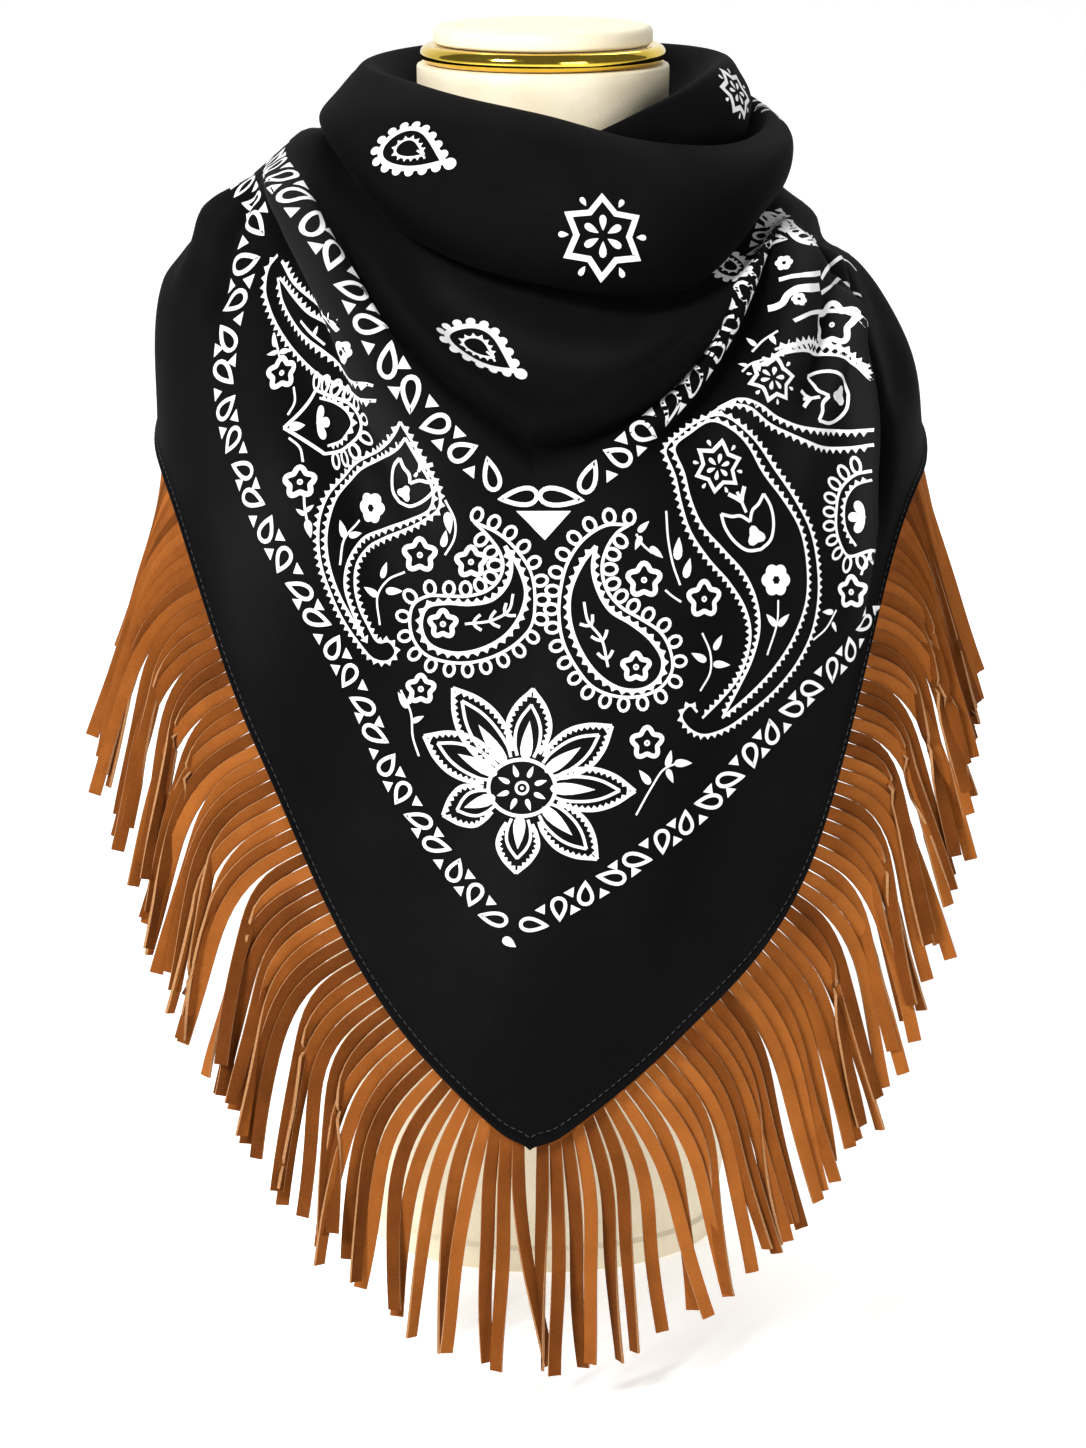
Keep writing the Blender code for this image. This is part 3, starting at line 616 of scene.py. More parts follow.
def polar(azimuths, radii, heights):
    turn = np.radians(azimuths)
    return np.stack([radii * np.sin(turn), -radii * np.cos(turn), heights], axis=-1)


def form_section(height):
    """Half width, half depth and centre of the bust at a height, in metres."""
    table = np.array(FORM_SECTIONS) * MM
    return [float(np.interp(height, table[:, 0], table[:, k])) for k in (1, 2, 3)]


def form_radius(azimuths, height):
    wide, deep, centre = form_section(height)
    turn = np.radians(azimuths)
    return 1 / np.sqrt((np.sin(turn) / wide) ** 2 + (np.cos(turn) / deep) ** 2) - centre * np.cos(turn)


def wing_lift(azimuths):
    return WING_LIFT * smoothstep(WING_LIFT_FROM, WING_LIFT_TO, azimuths)


def panel_knots(azimuths):
    """The panel's sections, one row each, from the hem to the seat on the neck."""
    rows = []
    for section in PANEL_SECTIONS.values():
        pair = both_sides(section, PANEL_STATIONS, azimuths)
        rows.append(polar(azimuths, pair[:, 0] + wing_lift(azimuths), pair[:, 1]))
    height = PANEL_SEAT_HEIGHT - WING_DROP * smoothstep(WING_LIFT_FROM, WING_LIFT_TO, -azimuths)
    seat = np.array([form_radius(a, h - CLOTH) for a, h in zip(azimuths, height)])
    rows.append(polar(azimuths, seat + SEAT_GAP + CLOTH / 2 + wing_lift(azimuths), height))
    return np.array(rows)


def along_line(line, azimuths, rows):
    """Distance from each place of a grid to a fold's line, and how far along it lies, 0 to 1."""
    spread = np.array([FOLD_DEGREE, FOLD_SECTION])
    line = np.array(line, float) * spread
    places = np.stack(np.meshgrid(azimuths, rows), axis=-1) * spread
    lengths = np.linalg.norm(np.diff(line, axis=0), axis=1)
    nearest = np.full(places.shape[:2], np.inf)
    share = np.zeros(places.shape[:2])
    for index, (start, end) in enumerate(zip(line, line[1:])):
        way = (end - start) / lengths[index]
        along = np.clip((places - start) @ way, 0, lengths[index])
        away = np.linalg.norm(places - start - along[..., None] * way, axis=-1)
        closer = away < nearest
        nearest[closer] = away[closer]
        share[closer] = (lengths[:index].sum() + along[closer]) / lengths.sum()
    return nearest, share


def fold_rise(azimuths, rows):
    """How far the folds lift each place of the grid along its normal, in metres."""
    rise = np.zeros((len(rows), len(azimuths)))
    for fold in [*FOLDS.values(), *CREASES.values()]:
        away, share = along_line(fold["line"], azimuths, rows)
        ends = smoothstep(0, 0.3, share) * smoothstep(0, 0.3, 1 - share)
        rise += fold["rise"] * MM * ends * np.exp(-((away / (fold["wide"] * MM)) ** 2))
    across, up = np.meshgrid(azimuths, rows)
    for degrees, sections, height, start in WAVES:
        slant = across / degrees + 1.3 * up / sections
        wave = height * MM * np.sin(slant * 2 + start) * np.cos(up / sections * 2.4 + start)
        rise += wave * smoothstep(5.4, 4, up)
    return rise


def fold_tone(azimuths, rows):
    """How much painted light the ridges and painted shade the folds put on each place of the grid."""
    tone = np.full((len(rows), len(azimuths)), 0.5)
    folds = [*FOLDS.values(), *CREASES.values()]
    folds = [(f["line"], f.get("tone", f["rise"] / 13), f["wide"]) for f in folds]
    for line, change, wide in folds + TONES:
        away, share = along_line(line, azimuths, rows)
        ends = smoothstep(0, 0.25, share) * smoothstep(0, 0.25, 1 - share)
        tone += change * ends * np.exp(-((away / (wide * MM)) ** 2))
    return tone


def panel_point(azimuths, rows):
    """The panel's middle surface as a grid: rows counts sections from the hem, 0 to 6."""
    rows = np.asarray(rows, float)
    points = smooth_rows(panel_knots(azimuths), rows)
    across = smooth_rows(panel_knots(azimuths + 1), rows) - smooth_rows(panel_knots(azimuths - 1), rows)
    up = smooth_rows(panel_knots(azimuths), rows + 0.05) - smooth_rows(panel_knots(azimuths), rows - 0.05)
    outward = np.cross(across, up)
    outward /= np.linalg.norm(outward, axis=-1, keepdims=True)
    across, over = np.meshgrid(azimuths, rows)
    trim = 5.0 * MM * np.exp(-(((across - POINT_AZIMUTH) / 2.4) ** 2)) * (1 - smoothstep(0, 1.2, over))
    up /= np.linalg.norm(up, axis=-1, keepdims=True)
    return points + outward * fold_rise(azimuths, rows)[..., None] + up * trim[..., None]


def grid_normals(points, closed):
    """Unit normals of a grid of points, rows by columns, along column step cross row step."""
    across = (
        np.roll(points, -1, axis=1) - np.roll(points, 1, axis=1) if closed else np.gradient(points, axis=1)
    )
    up = np.gradient(points, axis=0)
    normal = np.cross(across, up)
    return normal / np.linalg.norm(normal, axis=-1, keepdims=True)


def walled(points, thickness, closed):
    """Vertices and faces of a closed wall on both sides of a grid of points."""
    rows, columns = points.shape[:2]
    half = grid_normals(points, closed) * np.asarray(thickness).reshape(-1, 1, 1) / 2
    vertices = np.concatenate([(points + half).reshape(-1, 3), (points - half).reshape(-1, 3)])
    back = rows * columns

    def at(row, column):
        return row * columns + column % columns

    faces = []
    for row in range(rows - 1):
        for column in range(columns if closed else columns - 1):
            quad = [at(row, column), at(row, column + 1), at(row + 1, column + 1), at(row + 1, column)]
            faces.append(quad)
            faces.append([back + corner for corner in reversed(quad)])
    for column in range(columns if closed else columns - 1):
        low, high = (at(0, column), at(0, column + 1)), (at(rows - 1, column), at(rows - 1, column + 1))
        faces.append([low[1], low[0], back + low[0], back + low[1]])
        faces.append([high[0], high[1], back + high[1], back + high[0]])
    if not closed:
        for row in range(rows - 1):
            first, last = (at(row, 0), at(row + 1, 0)), (at(row, columns - 1), at(row + 1, columns - 1))
            faces.append([first[0], first[1], back + first[1], back + first[0]])
            faces.append([last[1], last[0], back + last[0], back + last[1]])
    return vertices, faces


# ------------------------------------------------------------------------------- materials
class Nodes:
    """A material's nodes, joined by name."""

    def __init__(self, name):
        self.material = bpy.data.materials.new(name)
        self.material.use_nodes = True
        self.tree = self.material.node_tree
        self.shader = self.tree.nodes["Principled BSDF"]

    def add(self, kind, settings=None, **inputs):
        node = self.tree.nodes.new(kind)
        for key, value in (settings or {}).items():
            setattr(node, key, value)
        for key, value in inputs.items():
            self.join(value, node.inputs[key.replace("_", " ")])
        return node

    def join(self, value, socket):
        if isinstance(value, bpy.types.NodeSocket):
            self.tree.links.new(value, socket)
        else:
            socket.default_value = value

    def place(self):
        return self.add("ShaderNodeTexCoord").outputs["Object"]

    def noise(self, scale, detail=4.0, roughness=0.55, vector=None):
        node = self.add("ShaderNodeTexNoise", Vector=vector or self.place(), Scale=scale, Detail=detail)
        node.inputs["Roughness"].default_value = roughness
        return node.outputs["Fac"]

    def ramp(self, value, stops):
        node = self.add("ShaderNodeValToRGB", Fac=value)
        while len(node.color_ramp.elements) < len(stops):
            node.color_ramp.elements.new(0.5)
        for element, (position, colour) in zip(node.color_ramp.elements, stops):
            element.position = position
            element.color = (*colour, 1)
        return node.outputs["Color"]

    def range(self, value, low, high, to_low, to_high):
        node = self.add("ShaderNodeMapRange", Value=value)
        for key, number in zip(("From Min", "From Max", "To Min", "To Max"), (low, high, to_low, to_high)):
            node.inputs[key].default_value = number
        return node.outputs["Result"]

    def math(self, kind, first, second):
        node = self.add("ShaderNodeMath", {"operation": kind})
        self.join(first, node.inputs[0])
        self.join(second, node.inputs[1])
        return node.outputs["Value"]

    def bump(self, height, distance, strength=1.0, normal=None):
        node = self.add("ShaderNodeBump", Height=height, Distance=distance, Strength=strength)
        if normal is not None:
            self.join(normal, node.inputs["Normal"])
        return node.outputs["Normal"]

    def set(self, **inputs):
        for key, value in inputs.items():
            self.join(value, self.shader.inputs[key.replace("_", " ")])
        return self.material


def cloth_material():
    n = Nodes("black cloth")
    # The shade attribute is painted light and shade: lighter on ridges, darker in folds and under the cowl's
    # lip, mixed into the base colour.
    shade = n.add("ShaderNodeAttribute", {"attribute_name": "shade"}).outputs["Fac"]
    fibre = n.noise(2600, 3, 0.6)
    patch = n.noise(38, 3)
    mixed = n.math("ADD", n.math("MULTIPLY", fibre, 0.3), n.math("MULTIPLY", patch, 0.15))
    mixed = n.math("ADD", mixed, n.math("MULTIPLY", shade, 0.55))
    colour = n.ramp(
        mixed,
        [(0.20, (0.0007, 0.0007, 0.0009)), (0.50, (0.0034, 0.0034, 0.0038)),
         (0.85, (0.0135, 0.0135, 0.0145))],
    )
    flat = n.add("ShaderNodeAttribute", {"attribute_name": "weave"}).outputs["Vector"]
    thread = n.add("ShaderNodeSeparateXYZ", Vector=flat)
    over, under = (n.math("SINE", n.math("MULTIPLY", thread.outputs[k], 11.6), 0.0) for k in "XY")
    soft = n.bump(n.noise(260, 4), 0.0002, 0.35)
    soft = n.bump(n.math("MULTIPLY", over, under), 0.00006, 0.6, soft)
    return n.set(
        Base_Color=colour,
        Roughness=0.82,
        Specular_IOR_Level=0.035,
        Sheen_Weight=0.012,
        Sheen_Roughness=0.5,
        Sheen_Tint=(0.55, 0.55, 0.6, 1),
        Normal=n.bump(fibre, 0.00012, 0.7, soft),
    )


def print_material():
    n = Nodes("white print")
    fibre = n.noise(2600, 3, 0.6)
    colour = n.ramp(fibre, [(0.3, (0.76, 0.76, 0.77)), (0.7, (0.88, 0.88, 0.89))])
    return n.set(Base_Color=colour, Roughness=0.8, Normal=n.bump(fibre, 0.0001, 0.5))


def thread_material():
    n = Nodes("black thread")
    colour = n.ramp(n.noise(1500), [(0.3, (0.016, 0.016, 0.018)), (0.7, (0.04, 0.04, 0.043))])
    return n.set(Base_Color=colour, Roughness=0.6, Normal=n.bump(n.noise(4000), 0.0001))


def suede_material():
    """Napped face: warm tan with darker brushed patches and a shade of its own for each strand."""
    n = Nodes("brown suede")
    shade = n.add("ShaderNodeAttribute", {"attribute_name": "shade"}).outputs["Fac"]
    nap = n.noise(1400, 5, 0.65)
    patch = n.noise(60, 4, 0.6)
    mixed = n.math("ADD", n.math("MULTIPLY", nap, 0.26), n.math("MULTIPLY", patch, 0.30))
    mixed = n.math("ADD", mixed, n.math("MULTIPLY", shade, 0.44))
    colour = n.ramp(
        mixed, [(0.20, (0.075, 0.020, 0.0035)), (0.48, (0.19, 0.053, 0.0085)), (0.78, (0.345, 0.108, 0.020))]
    )
    return n.set(
        Base_Color=colour,
        Roughness=0.92,
        Specular_IOR_Level=0.06,
        Sheen_Weight=0.04,
        Sheen_Roughness=0.5,
        Sheen_Tint=(1.0, 0.55, 0.25, 1),
        Normal=n.bump(nap, 0.00025, 0.8),
    )


def suede_edge_material():
    n = Nodes("cut suede edge")
    fibre = n.noise(2200, 4)
    colour = n.ramp(fibre, [(0.3, (0.26, 0.10, 0.03)), (0.7, (0.52, 0.27, 0.11))])
    return n.set(Base_Color=colour, Roughness=0.95, Normal=n.bump(fibre, 0.0003))


def cover_material():
    """Cream leatherette with a fine crumpled grain."""
    n = Nodes("cream cover")
    cells = n.add(
        "ShaderNodeTexVoronoi", {"feature": "DISTANCE_TO_EDGE"}, Vector=n.place(), Scale=620.0
    ).outputs["Distance"]
    creases = n.range(cells, 0.0, 0.14, 0.0, 1.0)
    broad = n.noise(210, 5, 0.6)
    colour = n.ramp(n.noise(45, 3), [(0.3, (0.80, 0.70, 0.50)), (0.7, (0.86, 0.77, 0.58))])
    grain = n.bump(creases, 0.00012, 0.35)
    return n.set(
        Base_Color=colour,
        Roughness=n.range(broad, 0.3, 0.7, 0.42, 0.56),
        Specular_IOR_Level=0.4,
        Normal=n.bump(broad, 0.0005, 0.4, grain),
    )


def gold_material():
    n = Nodes("polished gold")
    colour = n.ramp(n.noise(70, 3), [(0.3, (0.74, 0.50, 0.055)), (0.7, (0.86, 0.62, 0.09))])
    return n.set(
        Base_Color=colour, Metallic=1.0, Roughness=n.range(n.noise(300), 0.3, 0.7, 0.06, 0.13)
    )


# ------------------------------------------------------------------------------- pieces
def add_piece(name, vertices, faces, materials, slot=None, smooth=True, face_materials=None):
    mesh = bpy.data.meshes.new(name)
    vertices = np.asarray(vertices, float)
    mesh.from_pydata(vertices.tolist(), [], faces)
    for made in materials:
        mesh.materials.append(made)
    if face_materials is not None:
        mesh.polygons.foreach_set("material_index", np.asarray(face_materials, np.int32))
    if smooth:
        mesh.shade_smooth()
    piece = bpy.data.objects.new(name, mesh)
    bpy.context.scene.collection.objects.link(piece)
    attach(piece, "root")
    return piece


def lathe(profile, sides):
    """Vertices and faces of a closed solid from (height, half width, half depth, centre) sections."""
    turn = np.arange(sides) * 2 * math.pi / sides
    vertices = [
        (wide * math.sin(t), centre - deep * math.cos(t), height)
        for height, wide, deep, centre in profile
        for t in turn
    ]
    faces = [list(range(sides - 1, -1, -1))]
    for row in range(len(profile) - 1):
        for side in range(sides):
            a, b = row * sides + side, row * sides + (side + 1) % sides
            faces.append([a, b, b + sides, a + sides])
    faces.append([(len(profile) - 1) * sides + side for side in range(sides)])
    return vertices, faces


def make_form(cover, gold):
    table = np.array(FORM_SECTIONS, float) * MM
    foot = table[:3]
    body = table[2:]
    heights = np.linspace(body[0, 0], body[-1, 0], 90)
    smooth = spline(body[:, 0], body[:, 1:], heights)
    rows = [tuple(row) for row in foot[:2]] + [(h, *s) for h, s in zip(heights, smooth)]
    rows.insert(1, (0.0006, foot[0, 1] + 0.0006, foot[0, 2] + 0.0006, 0))
    edge = 0.0012
    top = NECK_TOP
    rows[-1] = (top - edge, NECK_RADIUS, NECK_RADIUS, 0)
    rows += [(top - edge / 3, NECK_RADIUS - edge / 3, NECK_RADIUS - edge / 3, 0)]
    rows += [(top, NECK_RADIUS - edge, NECK_RADIUS - edge, 0), (top, SPIGOT_RADIUS, SPIGOT_RADIUS, 0)]
    rows += [(top + 2 * RING_TUBE_RADIUS, SPIGOT_RADIUS, SPIGOT_RADIUS, 0)]
    bust = add_piece("bust", *lathe(rows, 128), [cover], "cream_cover")
    bust.data.set_sharp_from_angle(angle=math.radians(40))
    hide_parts("form_bust")
    turn, round_ = np.radians(np.arange(160) * 2.25), np.radians(np.arange(28) * 360 / 28)
    radius = RING_CENTRE_RADIUS + RING_TUBE_RADIUS * np.cos(round_)[:, None]
    height = NECK_TOP + GAP + RING_TUBE_RADIUS * (1 + np.sin(round_)[:, None])
    points = np.stack([radius * np.sin(turn), -radius * np.cos(turn), height + 0 * turn], axis=-1)
    count = len(turn)
    faces = [
        [r * count + c, r * count + (c + 1) % count, s * count + (c + 1) % count, s * count + c]
        for r in range(len(round_))
        for s in [(r + 1) % len(round_)]
        for c in range(count)
    ]
    ring = add_piece("ring", points.reshape(-1, 3), faces, [gold], "gold")
    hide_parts("form_ring")
    bottom = NECK_TOP + 2 * RING_TUBE_RADIUS + 2 * GAP
    fillet = 0.0032
    arc = np.linspace(0, math.pi / 2, 7)
    low = [
        (bottom + fillet / 2 * (1 - math.cos(a)), CAP_RADIUS - fillet / 2 * (1 - math.sin(a))) for a in arc
    ]
    high = [
        (bottom + CAP_THICKNESS - fillet * (1 - math.sin(a)), CAP_RADIUS - fillet * (1 - math.cos(a)))
        for a in arc
    ]
    crown = [(bottom + CAP_THICKNESS, CAP_RADIUS * k) for k in (0.8, 0.55, 0.25)]
    profile = [(h, r, r, 0) for h, r in low + high + crown]
    cap = add_piece("cap", *lathe(profile, 128), [cover], "cream_cover")
    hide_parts("form_cap")


def panel_rows():
    """Fine rows from the hem up, closest at the turned hem, with the wall's thickness at each."""
    hem_rows = np.array([0, 0.003, 0.009, 0.018, 0.028, 0.036, 0.042, 0.048, 0.055, 0.063, 0.072, 0.085, 0.1])
    hem_thick = MM * np.array([1.4, 2.6, 3.6, 4.1, 3.9, 3.2, 2.2, 1.7, 1.9, 2.3, 2.4, 2.1, 1.6])
    rest = np.linspace(0.14, 6, 118)
    return np.concatenate([hem_rows, rest]), np.concatenate([hem_thick, np.full(len(rest), CLOTH)])


def panel_columns():
    front = np.concatenate([np.linspace(0, 4, 9)[:-1], np.linspace(4, 97, 94)])
    back = np.linspace(97, END_AZIMUTH, 64)[1:]
    half = np.concatenate([front, back])
    return POINT_AZIMUTH + np.concatenate([-half[:0:-1], half])


def stitched(name, path, normals, thread, pitch=3.4, long=2.3, thick=0.42):
    """A row of short thread stitches lying along a path on the cloth."""
    length = np.concatenate([[0], np.cumsum(np.linalg.norm(np.diff(path, axis=0), axis=1))])
    turn = np.arange(6) * math.pi / 3
    vertices, faces = [], []
    for start in np.arange(pitch * MM, length[-1] - pitch * MM, pitch * MM):
        at = start + long * MM * np.linspace(0, 1, 5)
        spots = np.stack([np.interp(at, length, path[:, k]) for k in range(3)], axis=1)
        out = np.stack([np.interp(at, length, normals[:, k]) for k in range(3)], axis=1)
        out /= np.linalg.norm(out, axis=1, keepdims=True)
        way = (spots[-1] - spots[0]) / np.linalg.norm(spots[-1] - spots[0])
        first = len(vertices)
        for spot, o, fat, lift in zip(spots, out, (0.45, 0.9, 1, 0.9, 0.45), (0, 0.14, 0.2, 0.14, 0)):
            wide = np.cross(o, way)
            for t in turn:
                reach = wide * math.cos(t) + o * math.sin(t) * 0.7
                vertices.append(spot + o * lift * MM + reach * fat * thick * MM / 2)
        for ring in range(4):
            for k in range(6):
                a, b = first + 6 * ring + k, first + 6 * ring + (k + 1) % 6
                faces.append([a, b, b + 6, a + 6])
        faces.append([first + k for k in reversed(range(6))])
        faces.append([first + 24 + k for k in range(6)])
    return add_piece(name, vertices, faces, [thread])


def paint_shade(piece, shade):
    """Painted light and shade on the cloth's colour: lighter on the ridges and darker in the folds, a value for
    each place of the grid.
    """
    values = np.tile(np.clip(shade, 0, 1).ravel(), 2).astype(np.float32)
    piece.data.attributes.new("shade", "FLOAT", "POINT").data.foreach_set("value", values)


def woven(piece, grid):
    """The cloth's own flat millimetres at each place, which its weave follows."""
    flat = np.concatenate([grid, np.zeros((*grid.shape[:2], 1))], axis=-1).reshape(-1, 3)
    values = np.tile(flat, (2, 1)).ravel().astype(np.float32)
    piece.data.attributes.new("weave", "FLOAT_VECTOR", "POINT").data.foreach_set("vector", values)


def cowl_points(azimuths, rows):
    knots = []
    for section in COWL_SECTIONS.values():
        pair = both_sides(section, COWL_STATIONS, azimuths)
        knots.append(polar(azimuths, pair[:, 0], pair[:, 1]))
    return smooth_rows(np.array(knots), rows)


def turn_points(azimuths, rows):
    knots = []
    for section in TURN_SECTIONS.values():
        pair = spline(TURN_STATIONS, np.array(section, float) * MM, azimuths)
        knots.append(polar(azimuths, pair[:, 0], pair[:, 1]))
    return smooth_rows(np.array(knots), rows)


def make_cloth(black, white, thread):
    rows, thickness = panel_rows()
    columns = panel_columns()
    points = panel_point(columns, rows)
    panel = add_piece("front_panel", *walled(points, thickness, closed=False), [black], "black_cloth")
    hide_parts("scarf_front")
    # painted light on the ridges and painted shade in the folds, kept in the shade attribute
    paint_shade(panel, fold_tone(columns, rows))
    sheet = Sheet(points, thickness, columns, rows)
    woven(panel, sheet.grid)
    print_panel(sheet, white)
    normals = grid_normals(points, closed=False)
    for side in (1, -1):
        line = int(np.argmin(np.abs(rows - STITCH_ROW)))
        path = points[line] + side * normals[line] * (thickness[line] / 2 + 0.00005)
        place = "front" if side > 0 else "back"
        stitched(f"hem_stitches_{place}", path, side * normals[line], thread)
    azimuths = np.arange(-180, 180, 1.5)
    rows = np.linspace(0, 7, 64)
    edge = smoothstep(0, 0.15, rows) * smoothstep(0, 0.15, 7 - rows)
    points = cowl_points(azimuths, rows)
    cowl = add_piece(
        "cowl", *walled(points, DOUBLE_CLOTH * (0.45 + 0.55 * edge), closed=True), [black], "black_cloth"
    )
    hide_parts("scarf_cowl")
    # painted shade: darker towards the lip, beginning higher up on the right side, and darker over the left
    # side, which faces the key light
    up, side = 7 - rows[:, None], smoothstep(8, 42, azimuths) * smoothstep(130, 90, azimuths)
    paint_shade(cowl, 0.54 * smoothstep(1.0 + 0.8 * side, 2.8 + 1.5 * side, up) - 0.2 * smoothstep(0, -45, azimuths))
    azimuths = np.append(azimuths, 180.0)
    thickness = DOUBLE_CLOTH * (0.45 + 0.55 * edge)
    sheet = Sheet(cowl_points(azimuths, rows[::-1]), thickness, azimuths, rows)
    woven(cowl, sheet.grid[::-1, :-1])
    print_cowl(sheet, white)
    azimuths = np.linspace(TURN_STATIONS[0], TURN_STATIONS[-1], 130)
    rows = np.linspace(0, 5, 44)
    points = turn_points(azimuths, rows)
    turn = add_piece("inner_turn", *walled(points, np.full(44, CLOTH), closed=False), [black], "black_cloth")
    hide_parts("scarf_inner_turn")
    # an even painted shade, a little darker than the panel's plain cloth
    paint_shade(turn, np.full(points.shape[:2], 0.4))
    sheet = Sheet(points[::-1], np.full(44, CLOTH), azimuths, rows)
    woven(turn, sheet.grid[::-1])
    print_turn(sheet, white)
    return panel, cowl, turn


# ------------------------------------------------------------------------------- fringe
def hem_frame(side):
    """Azimuths, points, ways along, normals and ways out of the cloth, half a pitch apart on a hem."""
    sign = -1 if side == "left" else 1
    fine = np.linspace(0, FRINGE_END[side], 600)
    edge = panel_point(POINT_AZIMUTH + sign * fine, np.array([0.0, 0.06]))
    length = np.concatenate([[0], np.cumsum(np.linalg.norm(np.diff(edge[0], axis=0), axis=1))])
    half = STRAND_PITCH / 2
    at = np.arange(half, length[-1] - half, half)
    azimuths = np.interp(at, length, fine)
    edge = panel_point(POINT_AZIMUTH + sign * azimuths, np.array([0.0, 0.06]))
    along = np.gradient(edge[0], axis=0)
    along /= np.linalg.norm(along, axis=1, keepdims=True)
    up = edge[1] - edge[0]
    normal = np.cross(along, up) * sign
    normal /= np.linalg.norm(normal, axis=1, keepdims=True)
    out = np.cross(normal, along) * sign
    out *= -np.sign((out * up).sum(1, keepdims=True))
    square = smoothstep(0, POINT_SPREAD, at)[:, None]
    down = out * square + DOWN * (1 - square)
    down -= normal * (down * normal).sum(1, keepdims=True)
    return azimuths, edge[0], along, normal, out, down / np.linalg.norm(down, axis=1, keepdims=True)


def strand_noise(index, salt):
    """A number from -1 to 1 that is always the same for a strand."""
    return 2 * ((math.sin(index * 12.9898 + salt * 78.233) * 43758.5453) % 1) - 1


def strand_path(root, out, normal, azimuth, sign, index):
    turn = math.radians(azimuth)
    radial = np.array([sign * math.sin(turn), -math.cos(turn), 0])
    aside = np.array([radial[1], -radial[0], 0])
    lean = LEAN_FRONT + (LEAN_SIDE - LEAN_FRONT) * smoothstep(4, 38, azimuth)
    lean += (LEAN_BACK - LEAN_SIDE) * smoothstep(80, 110, azimuth)
    wave = math.sin(index * 0.9) * 1.0 + math.sin(index * 0.37 + 1) * 1.2
    near = float(smoothstep(30, 8, azimuth))
    lean = float(lean) + (1.3 + 1.2 * near) * strand_noise(index, 1) + 0.22 * wave
    lean += (1.0 + 1.4 * near) * (1 if index % 2 else -1)
    swing = 0.9 * math.sin(index * 0.33 + 2) + 0.6 * math.sin(index * 0.81)
    swing += (3.0 + 4.6 * near) * strand_noise(index, 3)
    swing += sign * 6.5 * float(smoothstep(3.5, 0.5, azimuth))
    swing -= sign * 7.0 * float(smoothstep(1, 13, azimuth) * smoothstep(58, 24, azimuth))
    rest = radial * math.tan(math.radians(lean)) + aside * math.tan(math.radians(swing)) + DOWN
    rest /= np.linalg.norm(rest)
    length = STRAND_LENGTH * (0.985 + 0.05 * strand_noise(index, 2))
    fine = np.linspace(0, 1, PATH_STEPS + 1)
    bend = smoothstep(0.02, 0.54 + 0.11 * strand_noise(index, 5), fine)[:, None]
    ways = out * (1 - bend) + rest * bend
    ripple = np.sin(fine * (7 + 2 * strand_noise(index, 6)) + 3 * strand_noise(index, 7)) * 0.035
    ways = ways + radial * (ripple * smoothstep(0.15, 0.5, fine))[:, None]
    curl = np.sin(fine * (4 + 1.5 * strand_noise(index, 10)) + 2 * strand_noise(index, 11)) * 0.07
    ways = ways + aside * (curl * smoothstep(0.2, 0.6, fine))[:, None]
    ways /= np.linalg.norm(ways, axis=1, keepdims=True)
    points = root + np.vstack([np.zeros(3), np.cumsum(ways[:-1], axis=0)]) * length / PATH_STEPS
    drop, room = points[0, 2] - points[-1, 2], points[0, 2] - STRAND_LOWEST
    if drop > room:
        points = points[0] + (points - points[0]) * room / drop
    steps = np.linspace(0, 1, STRAND_SEGMENTS + 1) ** 1.1
    place = np.stack([np.interp(steps, fine, points[:, k]) for k in range(3)], axis=1)
    facing = np.stack([np.interp(steps, fine, ways[:, k]) for k in range(3)], axis=1)
    blend = smoothstep(0, 0.4, steps)[:, None]
    flat = normal * (1 - blend) + radial * blend
    flat -= facing * (flat * facing).sum(1, keepdims=True)
    return place, facing, flat / np.linalg.norm(flat, axis=1, keepdims=True)


def strand_paths(azimuths, centre, along, normal, out, down, sign):
    """Every strand's rings, each turned like a slat so that it clears its neighbours."""
    numbers = np.arange(1, len(centre) - 1, 2)
    roots = centre + out * STRIP_BELOW_HEM * 0.3
    rings = [
        strand_path(roots[n], down[n], normal[n], azimuths[n], sign, index)
        for index, n in enumerate(numbers)
    ]
    place, facing, flat = (np.array([ring[k] for ring in rings]) for k in range(3))
    steps = np.linspace(0, 1, STRAND_SEGMENTS + 1) ** 1.1
    apart = np.gradient(place, axis=0)
    apart -= facing * (apart * facing).sum(-1, keepdims=True)
    aside = np.cross(flat, facing)
    aside *= np.sign((aside * along[numbers][:, None]).sum(-1, keepdims=True))
    spacing = np.linalg.norm(apart, axis=-1)
    clear = np.arcsin(np.clip((STRAND_THICKNESS + STRAND_CLEARANCE) / spacing, 0, MOST_SLANT))
    side = azimuths[numbers][:, None]
    front = math.radians(SIDE_TURN) * smoothstep(18, 58, side) * smoothstep(135, 100, side)
    front = front * smoothstep(0.02, 0.4, steps)
    turned = -np.maximum(clear, front) - np.arctan2((apart * flat).sum(-1), (apart * aside).sum(-1))
    turned = np.minimum(turned, 0) * smoothstep(0, 0.12, steps)
    twist = np.array([strand_noise(index, 8) for index in range(len(numbers))])[:, None]
    turned = turned + (0.36 + 0.4 * smoothstep(30, 8, side)) * twist * smoothstep(0.3, 1.0, steps)
    flat = flat * np.cos(turned)[..., None] + aside * np.sin(turned)[..., None]
    return numbers, place, facing, flat


